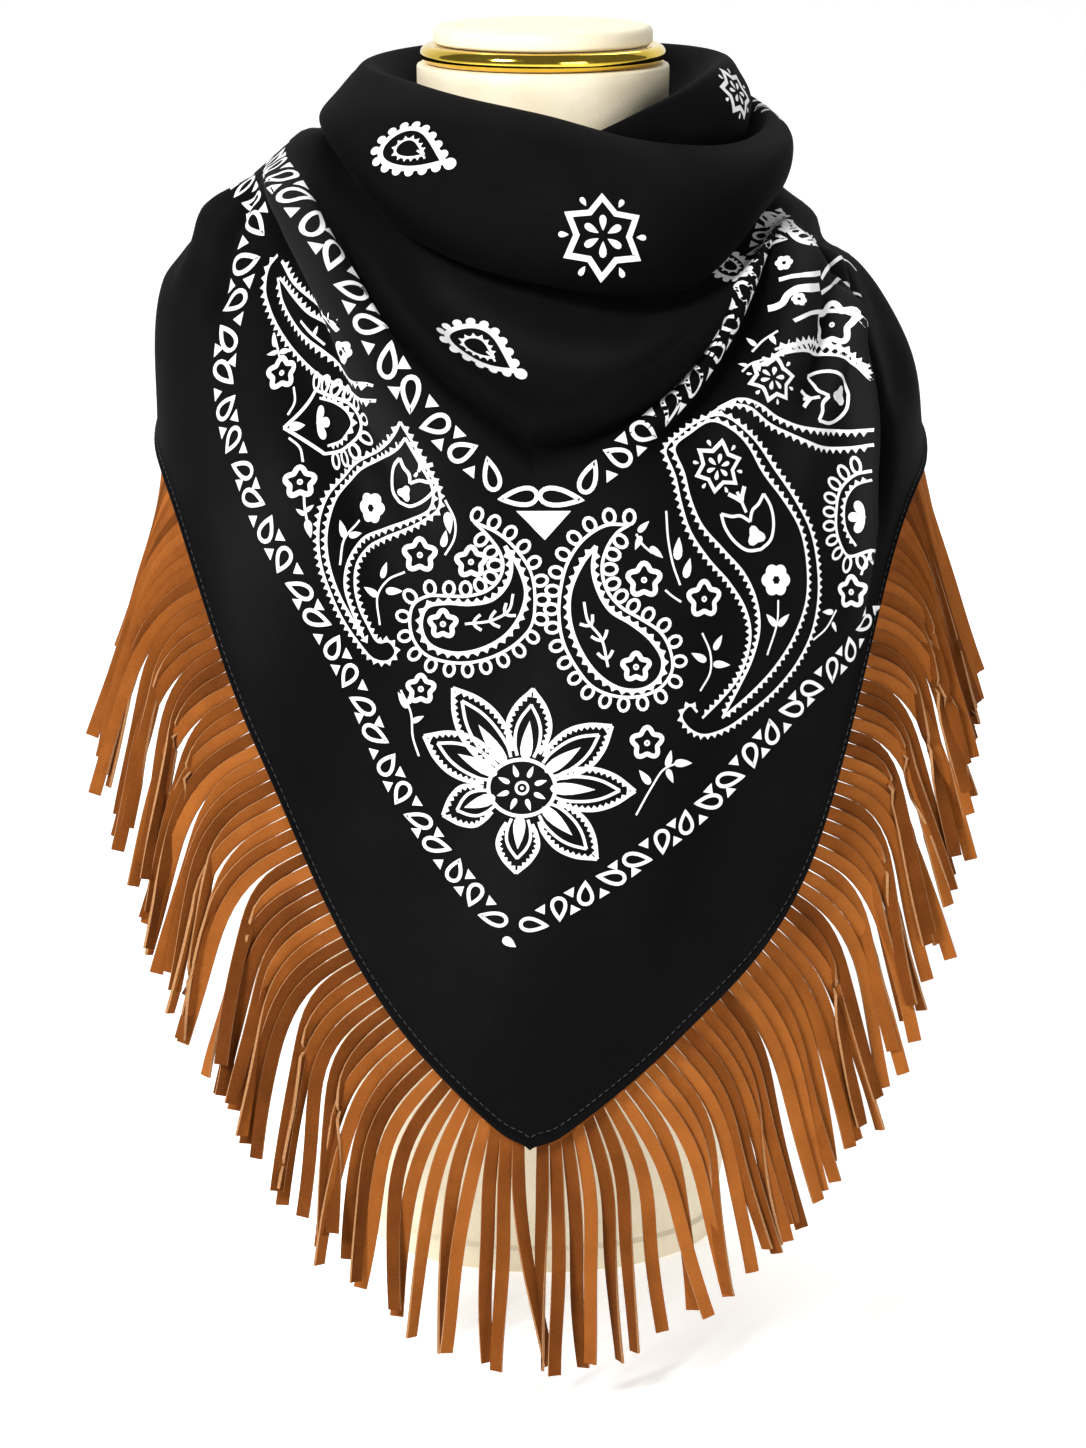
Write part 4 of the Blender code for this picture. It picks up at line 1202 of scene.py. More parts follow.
def make_fringe(side, face, edge_material):
    """Suede strips with a napped face, pale cut edges and a slight cup, on a strip behind the hem."""
    sign = -1 if side == "left" else 1
    azimuths, edge, along, normal, out, down = hem_frame(side)
    centre = edge - normal * (HEM / 2 + STRIP_GAP + STRAND_THICKNESS / 2)
    numbers, place, facing, flat = strand_paths(azimuths, centre, along, normal, out, down, sign)
    vertices, faces, kinds, shades = [], [], [], []
    # one section of a strand: across from -1 to 1, and its outer and inner face
    across = np.array([-1, -0.94, -0.5, 0, 0.5, 0.94, 1, 0.94, 0.5, 0, -0.5, -0.94])
    face_side = np.array([0, 1, 1, 1, 1, 1, 0, -1, -1, -1, -1, -1])
    count = len(across)
    for index, number in enumerate(numbers):
        shade = 0.5 + 0.5 * strand_noise(index, 4 + sign)
        cup = 0.00045 * strand_noise(index, 9)
        start = len(vertices)
        for ring in range(STRAND_SEGMENTS + 1):
            way, normal_here = facing[index, ring], flat[index, ring]
            wide = np.cross(normal_here, way)
            wide *= np.sign((wide * along[number]).sum())
            narrow = 0.84 + 0.16 * float(smoothstep(0, 4, ring)) - 0.04 * ring / STRAND_SEGMENTS
            for a, f in zip(across, face_side):
                lift = f * STRAND_THICKNESS / 2 + cup * (1 - a * a)
                vertices.append(
                    place[index, ring] + wide * a * narrow * STRAND_WIDTH / 2 + normal_here * lift
                )
                shades.append(shade)
        for ring in range(STRAND_SEGMENTS):
            for c in range(count):
                d = (c + 1) % count
                a = start + ring * count
                quad = [a + c, a + d, a + count + d, a + count + c]
                faces.append(quad if sign > 0 else quad[::-1])
                kinds.append(1 if 0 in (face_side[c], face_side[d]) else 0)
        last = start + STRAND_SEGMENTS * count
        cap = [last + c for c in range(count)]
        faces.append(cap if sign > 0 else cap[::-1])
        kinds.append(1)
        first = [start + c for c in reversed(range(count))]
        faces.append(first if sign > 0 else first[::-1])
        kinds.append(1)
    # the strip that the strands are cut from
    start = len(vertices)
    limit = np.minimum(STRIP_ABOVE_HEM, np.arange(len(centre)) * STRAND_PITCH / 2 + 0.001)
    for number in range(len(centre)):
        half = normal[number] * STRAND_THICKNESS / 2
        top, low = centre[number] - out[number] * limit[number], centre[number] + out[number] * 0.0022
        vertices += [top + half, low + half, low - half, top - half]
        shades += [0.4] * 4
    for number in range(len(centre) - 1):
        a = start + 4 * number
        for c in range(4):
            d = (c + 1) % 4
            quad = [a + c, a + d, a + 4 + d, a + 4 + c]
            faces.append(quad if sign > 0 else quad[::-1])
            kinds.append(0)
    ends = [[start, start + 3, start + 2, start + 1], [len(vertices) - 4 + c for c in range(4)]]
    faces += ends if sign > 0 else [end[::-1] for end in ends]
    kinds += [1, 1]
    piece = add_piece(
        f"suede_fringe_{side}", vertices, faces, [face, edge_material], "brown_suede", True, kinds
    )
    piece.data.attributes.new("shade", "FLOAT", "POINT").data.foreach_set("value", shades)
    piece.data.set_sharp_from_angle(angle=math.radians(40))
    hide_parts(f"fringe_{side}")
    return piece


# ------------------------------------------------------------------------------- print
def quads_of(rows, columns):
    """Corner numbers of each face of a grid."""
    at = np.arange(rows * columns).reshape(rows, columns)
    return np.stack([at[:-1, :-1], at[:-1, 1:], at[1:, 1:], at[1:, :-1]], axis=-1).reshape(-1, 4)


def laid_flat(points):
    """A cloth's grid unwrapped into flat millimetres, seen from outside with its front upright."""
    rows, columns = points.shape[:2]
    mesh = bpy.data.meshes.new("flat")
    mesh.from_pydata(points.reshape(-1, 3).tolist(), [], quads_of(rows, columns).tolist())
    mesh.uv_layers.new()
    piece = bpy.data.objects.new("flat", mesh)
    bpy.context.scene.collection.objects.link(piece)
    for other in bpy.context.selected_objects:
        other.select_set(False)
    bpy.context.view_layer.objects.active = piece
    piece.select_set(True)
    bpy.ops.object.mode_set(mode="EDIT")
    bpy.ops.mesh.select_all(action="SELECT")
    bpy.ops.uv.unwrap(method="ANGLE_BASED", margin=0)
    bpy.ops.object.mode_set(mode="OBJECT")
    places, corners = np.empty(2 * len(mesh.loops)), np.empty(len(mesh.loops), np.int32)
    mesh.uv_layers.active.data.foreach_get("uv", places)
    mesh.loops.foreach_get("vertex_index", corners)
    flat = np.zeros((rows * columns, 2))
    flat[corners] = places.reshape(-1, 2)
    flat = flat.reshape(rows, columns, 2)
    bpy.data.objects.remove(piece)
    bpy.data.meshes.remove(mesh)
    across, up = flat[:-1, 1:] - flat[:-1, :-1], flat[1:, :-1] - flat[:-1, :-1]
    turned = across[..., 0] * up[..., 1] - across[..., 1] * up[..., 0]
    if turned.sum() < 0:
        flat[..., 0] *= -1
    real = np.linalg.norm(
        np.cross(points[:-1, 1:] - points[:-1, :-1], points[1:, :-1] - points[:-1, :-1]), axis=-1
    )
    flat *= math.sqrt(real.sum() / abs(turned).sum()) / MM
    upright = flat[-1, columns // 2] - flat[0, columns // 2]
    turn = math.pi / 2 - math.atan2(upright[1], upright[0])
    spin = np.array([[math.cos(turn), math.sin(turn)], [-math.sin(turn), math.cos(turn)]])
    return flat @ spin


def shares(points, corners):
    """Each point's share of its triangle's corners."""
    first, second, way = corners[:, 1] - corners[:, 0], corners[:, 2] - corners[:, 0], points - corners[:, 0]
    aa, ab, bb = ((p * q).sum(1) for p, q in ((first, first), (first, second), (second, second)))
    wa, wb = (way * first).sum(1), (way * second).sum(1)
    scale = aa * bb - ab * ab
    v, w = (bb * wa - ab * wb) / scale, (aa * wb - ab * wa) / scale
    return np.stack([1 - v - w, v, w], axis=1)


class Sheet:
    """A cloth's outer side, and the same side laid flat in millimetres to draw the print on."""

    def __init__(self, points, thickness, azimuths, rows):
        self.azimuths, self.rows = azimuths, rows
        normals = grid_normals(points, closed=False)
        self.normals = normals.reshape(-1, 3)
        self.outer = (points + normals * thickness[:, None, None] / 2).reshape(-1, 3)
        self.grid = laid_flat(points)
        self.flat = np.column_stack([self.grid.reshape(-1, 2), np.zeros(len(self.outer))])
        quads = quads_of(*points.shape[:2])
        self.triangles = np.concatenate([quads[:, [0, 1, 2]], quads[:, [0, 2, 3]]])
        self.solid_tree = BVHTree.FromPolygons(self.outer.tolist(), self.triangles.tolist())
        self.flat_tree = BVHTree.FromPolygons(self.flat.tolist(), self.triangles.tolist())

    def seen(self, pixel):
        """Where the photograph's camera sees this cloth at a pixel, in flat millimetres."""
        across, down = ((pixel[k] - PHOTO_SIZE[k] / 2) / PHOTO_FOCAL for k in (0, 1))
        sine, cosine = math.sin(CAMERA_PITCH), math.cos(CAMERA_PITCH)
        way = Vector((across, cosine - down * sine, -sine - down * cosine)).normalized()
        place, _, face, _ = self.solid_tree.ray_cast(Vector(CAMERA_PLACE), way)
        if face is None:
            raise ValueError(f"the cloth isn't at pixel {pixel}")
        corners = self.triangles[face]
        return shares(np.array([place]), self.outer[corners][None])[0] @ self.flat[corners][:, :2]

    def at(self, azimuth, row):
        """The flat place of an azimuth and row of the cloth."""
        column = np.interp(azimuth, self.azimuths, np.arange(len(self.azimuths)))
        line = np.interp(row, self.rows, np.arange(len(self.rows)))
        c, r = min(int(column), len(self.azimuths) - 2), min(int(line), len(self.rows) - 2)
        u, v = column - c, line - r
        grid = self.grid
        low = grid[r, c] * (1 - u) + grid[r, c + 1] * u
        return low * (1 - v) + (grid[r + 1, c] * (1 - u) + grid[r + 1, c + 1] * u) * v

    def lifted(self, flat, height):
        """Points on the cloth's outer side for flat ones, and which of them lie on the cloth."""
        hits = [self.flat_tree.ray_cast(Vector((x, y, 1)), Vector((0, 0, -1)))[2] for x, y in flat]
        found = np.array([hit is not None for hit in hits])
        corners = self.triangles[np.array([hit if hit is not None else 0 for hit in hits])]
        share = shares(np.column_stack([flat, np.zeros(len(flat))]), self.flat[corners])[..., None]
        normal = (self.normals[corners] * share).sum(1)
        normal /= np.linalg.norm(normal, axis=1, keepdims=True)
        return (self.outer[corners] * share).sum(1) + normal * height[:, None], found

    def stretch(self, flat):
        """Flat millimetres to one real millimetre, near a flat place."""
        places, found = self.lifted(flat + np.array([[0, 0], [2, 0], [0, 2]]), np.zeros(3))
        if not found.all():
            return 1.0
        return 4 * MM / (np.linalg.norm(places[1] - places[0]) + np.linalg.norm(places[2] - places[0]))


def evenly(path, step):
    """A path's points at even steps along it, its ends kept."""
    path = np.asarray(path, float)
    length = np.concatenate([[0], np.cumsum(np.linalg.norm(np.diff(path, axis=0), axis=1))])
    count = max(2, int(math.ceil(length[-1] / step)) + 1)
    at = np.linspace(0, length[-1], count)
    return np.stack([np.interp(at, length, path[:, k]) for k in (0, 1)], axis=1)


def smooth_path(points, step=1.3):
    """A smooth curve through a few points, read at even steps."""
    points = np.asarray(points, float)
    length = np.concatenate([[0], np.cumsum(np.linalg.norm(np.diff(points, axis=0), axis=1) ** 0.7)])
    return evenly(spline(length, points, np.linspace(0, length[-1], 16 * len(points))), step)


def path_sides(path, closed):
    """Unit ways to the left of a path, lengthened at its corners."""
    if closed:
        ways = np.roll(path, -1, axis=0) - path
        before = np.roll(ways, 1, axis=0)
    else:
        ways = np.vstack([np.diff(path, axis=0), path[-1:] - path[-2:-1]])
        before = np.vstack([ways[:1], ways[:-1]])
    ways, before = (w / np.maximum(np.linalg.norm(w, axis=1, keepdims=True), 1e-9) for w in (ways, before))
    mean = ways + before
    mean /= np.maximum(np.linalg.norm(mean, axis=1, keepdims=True), 1e-9)
    reach = 1 / np.maximum((mean * ways).sum(1, keepdims=True), 0.6)
    return np.stack([-mean[:, 1], mean[:, 0]], axis=1) * reach


class Ink:
    """White shapes on a sheet of cloth, each a hair's breadth above the one drawn before it."""

    def __init__(self, sheet):
        self.sheet = sheet
        self.points, self.faces, self.levels = [], [], []
        self.count, self.drawn = 0, 0

    def shape(self, points, faces):
        self.faces += [[self.count + corner for corner in face] for face in faces]
        self.points.append(points)
        self.levels.append(np.full(len(points), self.drawn % PRINT_LEVELS))
        self.count += len(points)
        self.drawn += 1

    def ribbon(self, path, width, closed=False):
        """A line of even width. Its ends are square."""
        side = path_sides(path, closed) * width / 2
        count = len(path)
        points = np.empty((2 * count, 2))
        points[::2], points[1::2] = path - side, path + side
        last = count if closed else count - 1
        self.shape(
            points,
            [[2 * k, 2 * ((k + 1) % count), 2 * ((k + 1) % count) + 1, 2 * k + 1] for k in range(last)],
        )

    def blob(self, outline, hole=0.0):
        """A filled shape, or a ring round a hole of a given share of its size."""
        count, middle = len(outline), outline.mean(0)
        size = np.linalg.norm(outline - middle, axis=1).max()
        rings = max(2, int(math.ceil(size * (1 - hole) / 2)) + 1)
        levels = np.linspace(1, hole, rings)[: None if hole else -1]
        points = np.vstack([middle + (outline - middle) * level for level in levels])
        faces = [
            [r * count + k, r * count + (k + 1) % count, (r + 1) * count + (k + 1) % count, (r + 1) * count + k]
            for r in range(len(levels) - 1)
            for k in range(count)
        ]
        if not hole:
            start = (len(levels) - 1) * count
            faces += [[start + k, start + (k + 1) % count, len(points)] for k in range(count)]
            points = np.vstack([points, middle])
        area = (outline[:, 0] * np.roll(outline[:, 1], -1) - np.roll(outline[:, 0], -1) * outline[:, 1]).sum()
        self.shape(points, faces if area > 0 else [face[::-1] for face in faces])

    def teeth(self, path, pitch, height, side, width=0.0, base=0.8):
        """A row of small teeth along one side of a line of a given width."""
        path = evenly(path, pitch)
        out = path_sides(path, closed=False) * side
        along = np.stack([out[:, 1], -out[:, 0]], axis=1)
        for here, o, a in zip(path[1:-1], out[1:-1], along[1:-1]):
            root = here + o * (width / 2 - 0.15)
            tooth = np.array([root - a * pitch * base / 2, root + o * height, root + a * pitch * base / 2])
            self.shape(tooth if side < 0 else tooth[::-1], [[0, 1, 2]])

    def loops(self, path, pitch, long, wide, side, width=0.9):
        """A row of small outlined loops along one side of a line."""
        path = evenly(path, pitch)
        out = path_sides(path, closed=False) * side
        turn = np.linspace(0, 2 * math.pi, 13)[:-1]
        last = np.array([1e9, 1e9])
        for here, o in zip(path[:-1], out[:-1]):
            along = np.array([o[1], -o[0]])
            middle = here + o * (long / 2 + 0.2)
            if np.linalg.norm(middle - last) < wide * 1.12:
                continue
            last = middle
            ring = middle + np.outer(np.cos(turn) * long / 2, o) + np.outer(np.sin(turn) * wide / 2, along)
            self.ribbon(ring, width, closed=True)

    def piece(self, name, material):
        height = PRINT_LIFT + PRINT_LEVEL * np.concatenate(self.levels)
        places, found = self.sheet.lifted(np.vstack(self.points), height)
        flat = np.vstack(self.points)
        faces = []
        for face in self.faces:
            if found[face].all():
                a, b, c = flat[face[0]], flat[face[1]], flat[face[2]]
                turned = (b[0] - a[0]) * (c[1] - a[1]) - (b[1] - a[1]) * (c[0] - a[0])
                faces.append(face if turned > 0 else face[::-1])
        used = np.unique(np.concatenate([np.array(face) for face in faces]))
        number = np.zeros(len(places), int)
        number[used] = np.arange(len(used))
        return add_piece(name, places[used], [number[face].tolist() for face in faces], [material])


class Motif:
    """A drawing's own millimetres on a sheet: x along its way, from its centre."""

    def __init__(self, ink, centre, way, size=1.0):
        self.ink, self.centre = ink, centre
        self.way = way / np.linalg.norm(way)
        self.size = size * ink.sheet.stretch(centre)

    def __call__(self, points):
        points = np.atleast_2d(np.asarray(points, float)) * self.size
        return self.centre + points[:, :1] * self.way + points[:, 1:] * [[-self.way[1], self.way[0]]]

    def line(self, path, width, closed=False):
        self.ink.ribbon(self(path), width, closed)

    def fill(self, outline, hole=0.0):
        self.ink.blob(self(outline), hole)


def seen_motif(ink, pixel, angle=0.0, size=1.0):
    """A motif placed at a pixel of the photograph, its way at an angle as seen there."""
    turn = math.radians(angle)
    centre = ink.sheet.seen(pixel)
    step = (pixel[0] + 4 * math.cos(turn), pixel[1] - 4 * math.sin(turn))
    return Motif(ink, centre, ink.sheet.seen(step) - centre, size)


def placed_motif(ink, azimuth, row, angle=0.0, size=1.0):
    """A motif placed by azimuth and row, its way at an angle from level, towards +X."""
    centre = ink.sheet.at(azimuth, row)
    way = ink.sheet.at(azimuth + 0.5, row) - ink.sheet.at(azimuth - 0.5, row)
    turn = math.radians(angle)
    cosine, sine = math.cos(turn), math.sin(turn)
    way = np.array([way[0] * cosine - way[1] * sine, way[0] * sine + way[1] * cosine])
    return Motif(ink, centre, way, size)


def drop(length, width, at=(0, 0), angle=0.0, count=20):
    """The outline of a drop about a place, its tip at an angle."""
    t = np.linspace(0, 2 * math.pi, count + 1)[:-1]
    shape = np.stack([length / 2 * np.cos(t), width * 0.65 * np.sin(t) * np.abs(np.sin(t / 2)) ** 1.1], axis=1)
    turn = math.radians(angle)
    spin = np.array([[math.cos(turn), math.sin(turn)], [-math.sin(turn), math.cos(turn)]])
    return np.asarray(at, float) + shape @ spin


def polar_path(radius, count):
    """A closed outline from its radius at each angle."""
    t = np.arange(count) * 2 * math.pi / count
    return np.stack([radius(t) * np.cos(t), radius(t) * np.sin(t)], axis=1)


def flower(motif, radius=5.6):
    """Five petals in outline round a small ring."""
    motif.line(polar_path(lambda t: radius * (1 + 0.18 * np.cos(5 * t)), 50), 2.1, closed=True)
    motif.fill(polar_path(lambda t: 1.3 + 0 * t, 10), 0.3)


def filled_flower(motif, radius=6.6):
    """Six filled petals round an open eye."""
    motif.fill(polar_path(lambda t: radius * (1 + 0.1 * np.abs(np.sin(3 * t)) * 2 - 0.1), 48), 0.26)


def star(motif, radius, line=1.5):
    """A six-pointed star in outline, with seeds inside and between its points."""
    corners = [
        (r * math.cos(math.radians(30 * k)), r * math.sin(math.radians(30 * k)))
        for k in range(12)
        for r in [radius * (1 if k % 2 == 0 else 0.66)]
    ]
    outline = np.vstack([evenly([a, b], 1.4)[:-1] for a, b in zip(corners, corners[1:] + corners[:1])])
    motif.line(outline, line, closed=True)
    for k in range(6):
        for reach, angle, long, wide in ((0.33, 60 * k, 0.40, 0.19), (0.98, 60 * k + 30, 0.26, 0.15)):
            turn = math.radians(angle)
            spot = (radius * reach * math.cos(turn), radius * reach * math.sin(turn))
            motif.fill(drop(radius * long, radius * wide, spot, angle + 180, 12))


def tulip(motif, size=1.0):
    """A tulip in outline that opens along x, a filled bud in it and a small twig at its mouth."""
    side = np.array([(8.6, 9.0), (4.0, 9.7), (-2.0, 8.3), (-6.8, 4.8), (-8.4, 0)]) * size
    notch = np.array([(8.6, 9.0), (6.2, 5.6), (5.2, 2.6), (2.0, 0)]) * size
    for mirror in ((1, 1), (1, -1)):
        motif.line(smooth_path(side * mirror), 1.3)
        motif.line(smooth_path(notch * mirror), 1.3)
        motif.line(np.array([(9.4, 0), (11.4, 1.4), (13.6, 3.4)]) * mirror * size, 1.7)
    motif.fill(polar_path(lambda t: size * 3.1 * (1 + 0.25 * np.cos(3 * t)), 18) - [3.4 * size, 0])
    motif.line(np.array([(5.4, 0), (9, 0), (13, 0)]) * size, 1.3)


def sprig(ink, stem, leaves, width=0.9):
    """A curved stem and its leaves. Each leaf has a place and a place that its tip points to."""
    sheet = ink.sheet
    ink.ribbon(smooth_path([sheet.seen(pixel) for pixel in stem]), width)
    for foot, tip in leaves:
        leaf(ink, sheet.seen(foot), sheet.seen(tip))


def leaf(ink, foot, tip, fat=0.42):
    way = tip - foot
    long = np.linalg.norm(way)
    angle = math.degrees(math.atan2(way[1], way[0]))
    ink.blob(drop(long, long * fat, (foot + tip) / 2, angle, 14))


def toothed_line(ink, path, side, pitch, height, width=1.1):
    ink.ribbon(path, width)
    ink.teeth(path, pitch, height, side, width)


def wedge(ink, first, second, third):
    """A filled triangle in nine small ones, so that it follows a fold."""
    points = np.array(
        [(first * (3 - i - j) + second * i + third * j) / 3 for j in range(4) for i in range(4 - j)]
    )
    start = [0, 4, 7, 9]
    faces = []
    for j in range(3):
        for i in range(3 - j):
            faces.append([start[j] + i, start[j] + i + 1, start[j + 1] + i])
            if i < 2 - j:
                faces.append([start[j] + i + 1, start[j + 1] + i + 1, start[j + 1] + i])
    ink.shape(points, faces)


def border(ink, path, flip=1):
    """A strip of outlined drops that lean to and fro, with filled triangles in the gaps."""
    path = evenly(path, 0.5)
    length = np.concatenate([[0], np.cumsum(np.linalg.norm(np.diff(path, axis=0), axis=1))])

    def place(along):
        here = np.array([np.interp(along, length, path[:, k]) for k in (0, 1)])
        ahead = np.array([np.interp(along + 1.5, length, path[:, k]) for k in (0, 1)])
        behind = np.array([np.interp(along - 1.5, length, path[:, k]) for k in (0, 1)])
        way = (ahead - behind) / np.linalg.norm(ahead - behind)
        return here, way, np.array([-way[1], way[0]]) * flip

    for number in range(int(length[-1] / BORDER_PITCH)):
        here, way, side = place((number + 0.5) * BORDER_PITCH)
        turn, long, wide, wedges = BORDER_DROPS[number % 4]
        tip = way * math.cos(math.radians(turn)) + side * math.sin(math.radians(turn))
        ink.ribbon(drop(long, wide, here, math.degrees(math.atan2(tip[1], tip[0]))), BORDER_LINE, closed=True)
        for edge, shift in wedges:
            here, way, side = place((number + 1) * BORDER_PITCH + shift)
            base = here + side * edge * WEDGE_AWAY
            wedge(ink, base - way * WEDGE_HALF, base + way * WEDGE_HALF, base - side * edge * WEDGE_HEIGHT)


def around(path):
    """Which side of a closed outline is outside it."""
    turned = (path[:-1, 0] * path[1:, 1] - path[1:, 0] * path[:-1, 1]).sum()
    return -1 if turned > 0 else 1


def seen_path(ink, pixels, step=1.2):
    return smooth_path([ink.sheet.seen(pixel) for pixel in pixels], step)


def looped_paisley(ink, shape):
    outer, inner = seen_path(ink, shape["outer"]), seen_path(ink, shape["inner"])
    ink.ribbon(outer, 1.3)
    ink.loops(outer, 7.7, 5.9, 4.5, around(outer), 1.35)
    ink.ribbon(inner, 1.7)
    ink.teeth(inner, 4.2, 1.9, around(inner), 1.5, 0.8)
    twig(ink, seen_path(ink, shape["twig"]))


def twig(ink, path):
    """A stem with short forked pairs of side shoots."""
    ink.ribbon(path, 1.1)
    for share, size in ((0.35, 4.2), (0.62, 4.6), (0.9, 4.2)):
        k = int(share * (len(path) - 1))
        way = path[max(k - 2, 0)] - path[min(k + 2, len(path) - 1)]
        way /= np.linalg.norm(way)
        for side in (1, -1):
            tip = way * 0.5 * size + np.array([-way[1], way[0]]) * side * 0.8 * size
            ink.ribbon(evenly([path[k], path[k] + tip * 0.55, path[k] + tip + way * 1.2], 1.2), 1.3)


def medallion(ink, shape):
    """Half a daisy of loops on a toothed arc, round three curled leaves."""
    arc, inner = seen_path(ink, shape["arc"]), seen_path(ink, shape["inner"])
    middle = np.array(ink.sheet.seen(shape["heart"][:2]))
    for path, width in ((arc, 1.2), (inner, 0.9)):
        ink.ribbon(path, width)
    way = arc[len(arc) // 2] - arc[len(arc) // 2 - 1]
    side = 1 if np.dot([-way[1], way[0]], arc[len(arc) // 2] - middle) > 0 else -1
    ink.loops(arc, 5.4, 6.2, 3.7, side, 1.2)
    ink.teeth(inner, 3.2, 1.6, side, 1.1)
    if shape["point"]:
        point = ink.sheet.seen(shape["point"])
        ink.ribbon(evenly([arc[0], point], 1.3), 1.4)
        ink.ribbon(evenly([point, arc[-1]], 1.3), 1.4)
        leaf(ink, point + (middle - point) * 0.15, middle * 0.6 + point * 0.4, 0.6)
    heart = seen_motif(ink, shape["heart"][:2], shape["heart"][2])
    for angle in (0, 62, -62):
        turn = math.radians(angle)
        heart.fill(drop(8.8, 4.4, (3.4 * math.cos(turn), 3.4 * math.sin(turn)), angle + 180, 14))


def bloom(ink, centre, tips):
    """A large flower: petals in two outlines with a filled heart, round a seeded hub."""
    middle = ink.sheet.seen(centre)
    hub, half = 13.6, 9.6
    for pixel in tips:
        tip = ink.sheet.seen(pixel)
        long = np.linalg.norm(tip - middle)
        petal = Motif(ink, middle, tip - middle)
        petal.size = 1.0
        outline = [
            (hub + 3, 6.0), (hub + 7, 8.2), ((hub + long) / 2, half),
            (hub * 0.25 + long * 0.75, half * 0.7), (long, 0),
        ]
        short = long - 7
        inner = [
            (hub + 1, 3.8), (hub + 5, 5.2), ((hub + short) / 2 + 1, 5.5),
            (hub * 0.25 + short * 0.75, 3.9), (short, 0),
        ]
        for side, line in ((outline, 1.7), (inner, 1.4)):
            for mirror in ((1, 1), (1, -1)):
                path = smooth_path(np.array(side) * mirror)
                petal.line(path, line)
                if side is outline:
                    ink.teeth(petal(path), 3.0, 1.5, -mirror[1], line, 0.95)
        petal.fill(drop(0.42 * long - 1, 5.8, (hub + 0.21 * long - 1.2, 0), 0, 16))
    eye = Motif(ink, middle, np.array([1.0, 0.0]))
    eye.line(polar_path(lambda t: hub + 0 * t, 54) * [1.03, 0.88], 1.7, closed=True)
    eye.line(polar_path(lambda t: 2.5 + 0 * t, 18), 1.2, closed=True)
    eye.fill(polar_path(lambda t: 0.8 + 0 * t, 10))
    for k in range(8):
        turn = math.radians(45 * k + 20)
        eye.fill(drop(5.4, 2.3, (8.4 * math.cos(turn), 7.6 * math.sin(turn)), 45 * k + 20, 12))


def knobbed_paisley(motif):
    """A paisley in outline with round knobs along its edge and a toothed one inside."""
    t = np.linspace(0, 2 * math.pi, 61)
    shape = np.stack([12.5 * np.cos(t), 10.4 * np.sin(t) * np.abs(np.sin(t / 2)) ** 1.1], axis=1)
    shape[:, 1] += 1.6 * ((shape[:, 0] - 2) / 12.5) * np.abs(shape[:, 0] / 12.5)
    motif.line(shape, 2.1)
    edge = evenly(shape * 1.17, 4.75)[:-1]
    for knob in edge:
        motif.fill(knob + polar_path(lambda t: 1.65 + 0 * t, 12))
    motif.fill(np.array([14.6, 1.7]) + polar_path(lambda t: 2.2 + 0 * t, 14))
    inner = shape[::2] * 0.46 - [1.4, 0.2]
    motif.line(inner, 1.0)
    motif.ink.teeth(motif(inner), 2.5, 1.5, -1, 0.9, 0.7)
    motif.line(np.array([(1, 0.6), (3.6, 0.4), (5.6, -0.6)]), 0.8)


def print_panel(sheet, material):
    ink = Ink(sheet)
    for side, pixels in BORDER_OUTER.items():
        path = [sheet.seen(pixel) for pixel in pixels] + [sheet.at(*place) for place in OUTER_REST[side]]
        border(ink, smooth_path(path), 1 if side == "left" else -1)
    for side, pixels in BORDER_INNER.items():
        path = [sheet.seen(pixel) for pixel in pixels] + [sheet.at(*place) for place in INNER_REST[side]]
        border(ink, smooth_path(path), -1 if side == "left" else 1)
    border(ink, smooth_path([sheet.at(*place) for place in OUTER_BACK]), -1)
    for drop_foot, drop_tip in KNOT_DROPS:
        foot, end = sheet.seen(drop_foot), sheet.seen(drop_tip)
        way = end - foot
        angle = math.degrees(math.atan2(way[1], way[0]))
        ink.ribbon(drop(np.linalg.norm(way), 7.2, (foot + end) / 2, angle), 1.9, closed=True)
    corners = np.array([sheet.seen(pixel) for pixel in KNOT_TRIANGLE])
    edge = np.vstack([evenly([a, b], 1.5)[:-1] for a, b in zip(corners, np.roll(corners, -1, axis=0))])
    ink.blob(edge)
    for x, y, radius in FLOWERS:
        flower(seen_motif(ink, (x, y), 90), radius)
    for x, y, radius in FILLED_FLOWERS:
        filled_flower(seen_motif(ink, (x, y), 90), radius)
    for x, y, radius in STARS:
        star(seen_motif(ink, (x, y), 80), radius)
    for x, y, angle, size in TULIPS:
        tulip(seen_motif(ink, (x, y), angle), size)
    for shape in LOOPED_PAISLEYS:
        looped_paisley(ink, shape)
    for pixels in LONG_PAISLEYS:
        path = seen_path(ink, pixels)
        closed = len(pixels) > 16
        toothed_line(ink, path, around(path) if closed else 1, 3.3, 1.75)
    for shape in MEDALLIONS:
        medallion(ink, shape)
    bloom(ink, BLOOM, BLOOM_TIPS)
    leaf(ink, sheet.seen(POINT_LEAF[0]), sheet.seen(POINT_LEAF[1]), 0.6)
    for pixels, width in STROKES:
        ink.ribbon(seen_path(ink, pixels), width)
    scallops = seen_path(ink, STROKES[0][0])
    ink.loops(scallops, 7.0, 4.8, 4.0, 1, 1.3)
    for stem, leaves in SPRIGS:
        sprig(ink, stem, leaves)
    for x, y, angle, size in DRAPE_PAISLEYS:
        knobbed_paisley(seen_motif(ink, (x, y), angle, size))
    for azimuth, row, kind, angle, size in WING_MOTIFS:
        motif = placed_motif(ink, azimuth, row, angle, size)
        if kind == "paisley":
            knobbed_paisley(motif)
        elif kind == "tulip":
            tulip(motif)
        elif kind == "star":
            star(motif, 13.0, 1.7)
        else:
            flower(motif, 6.0)
    return ink.piece("panel_print", material)


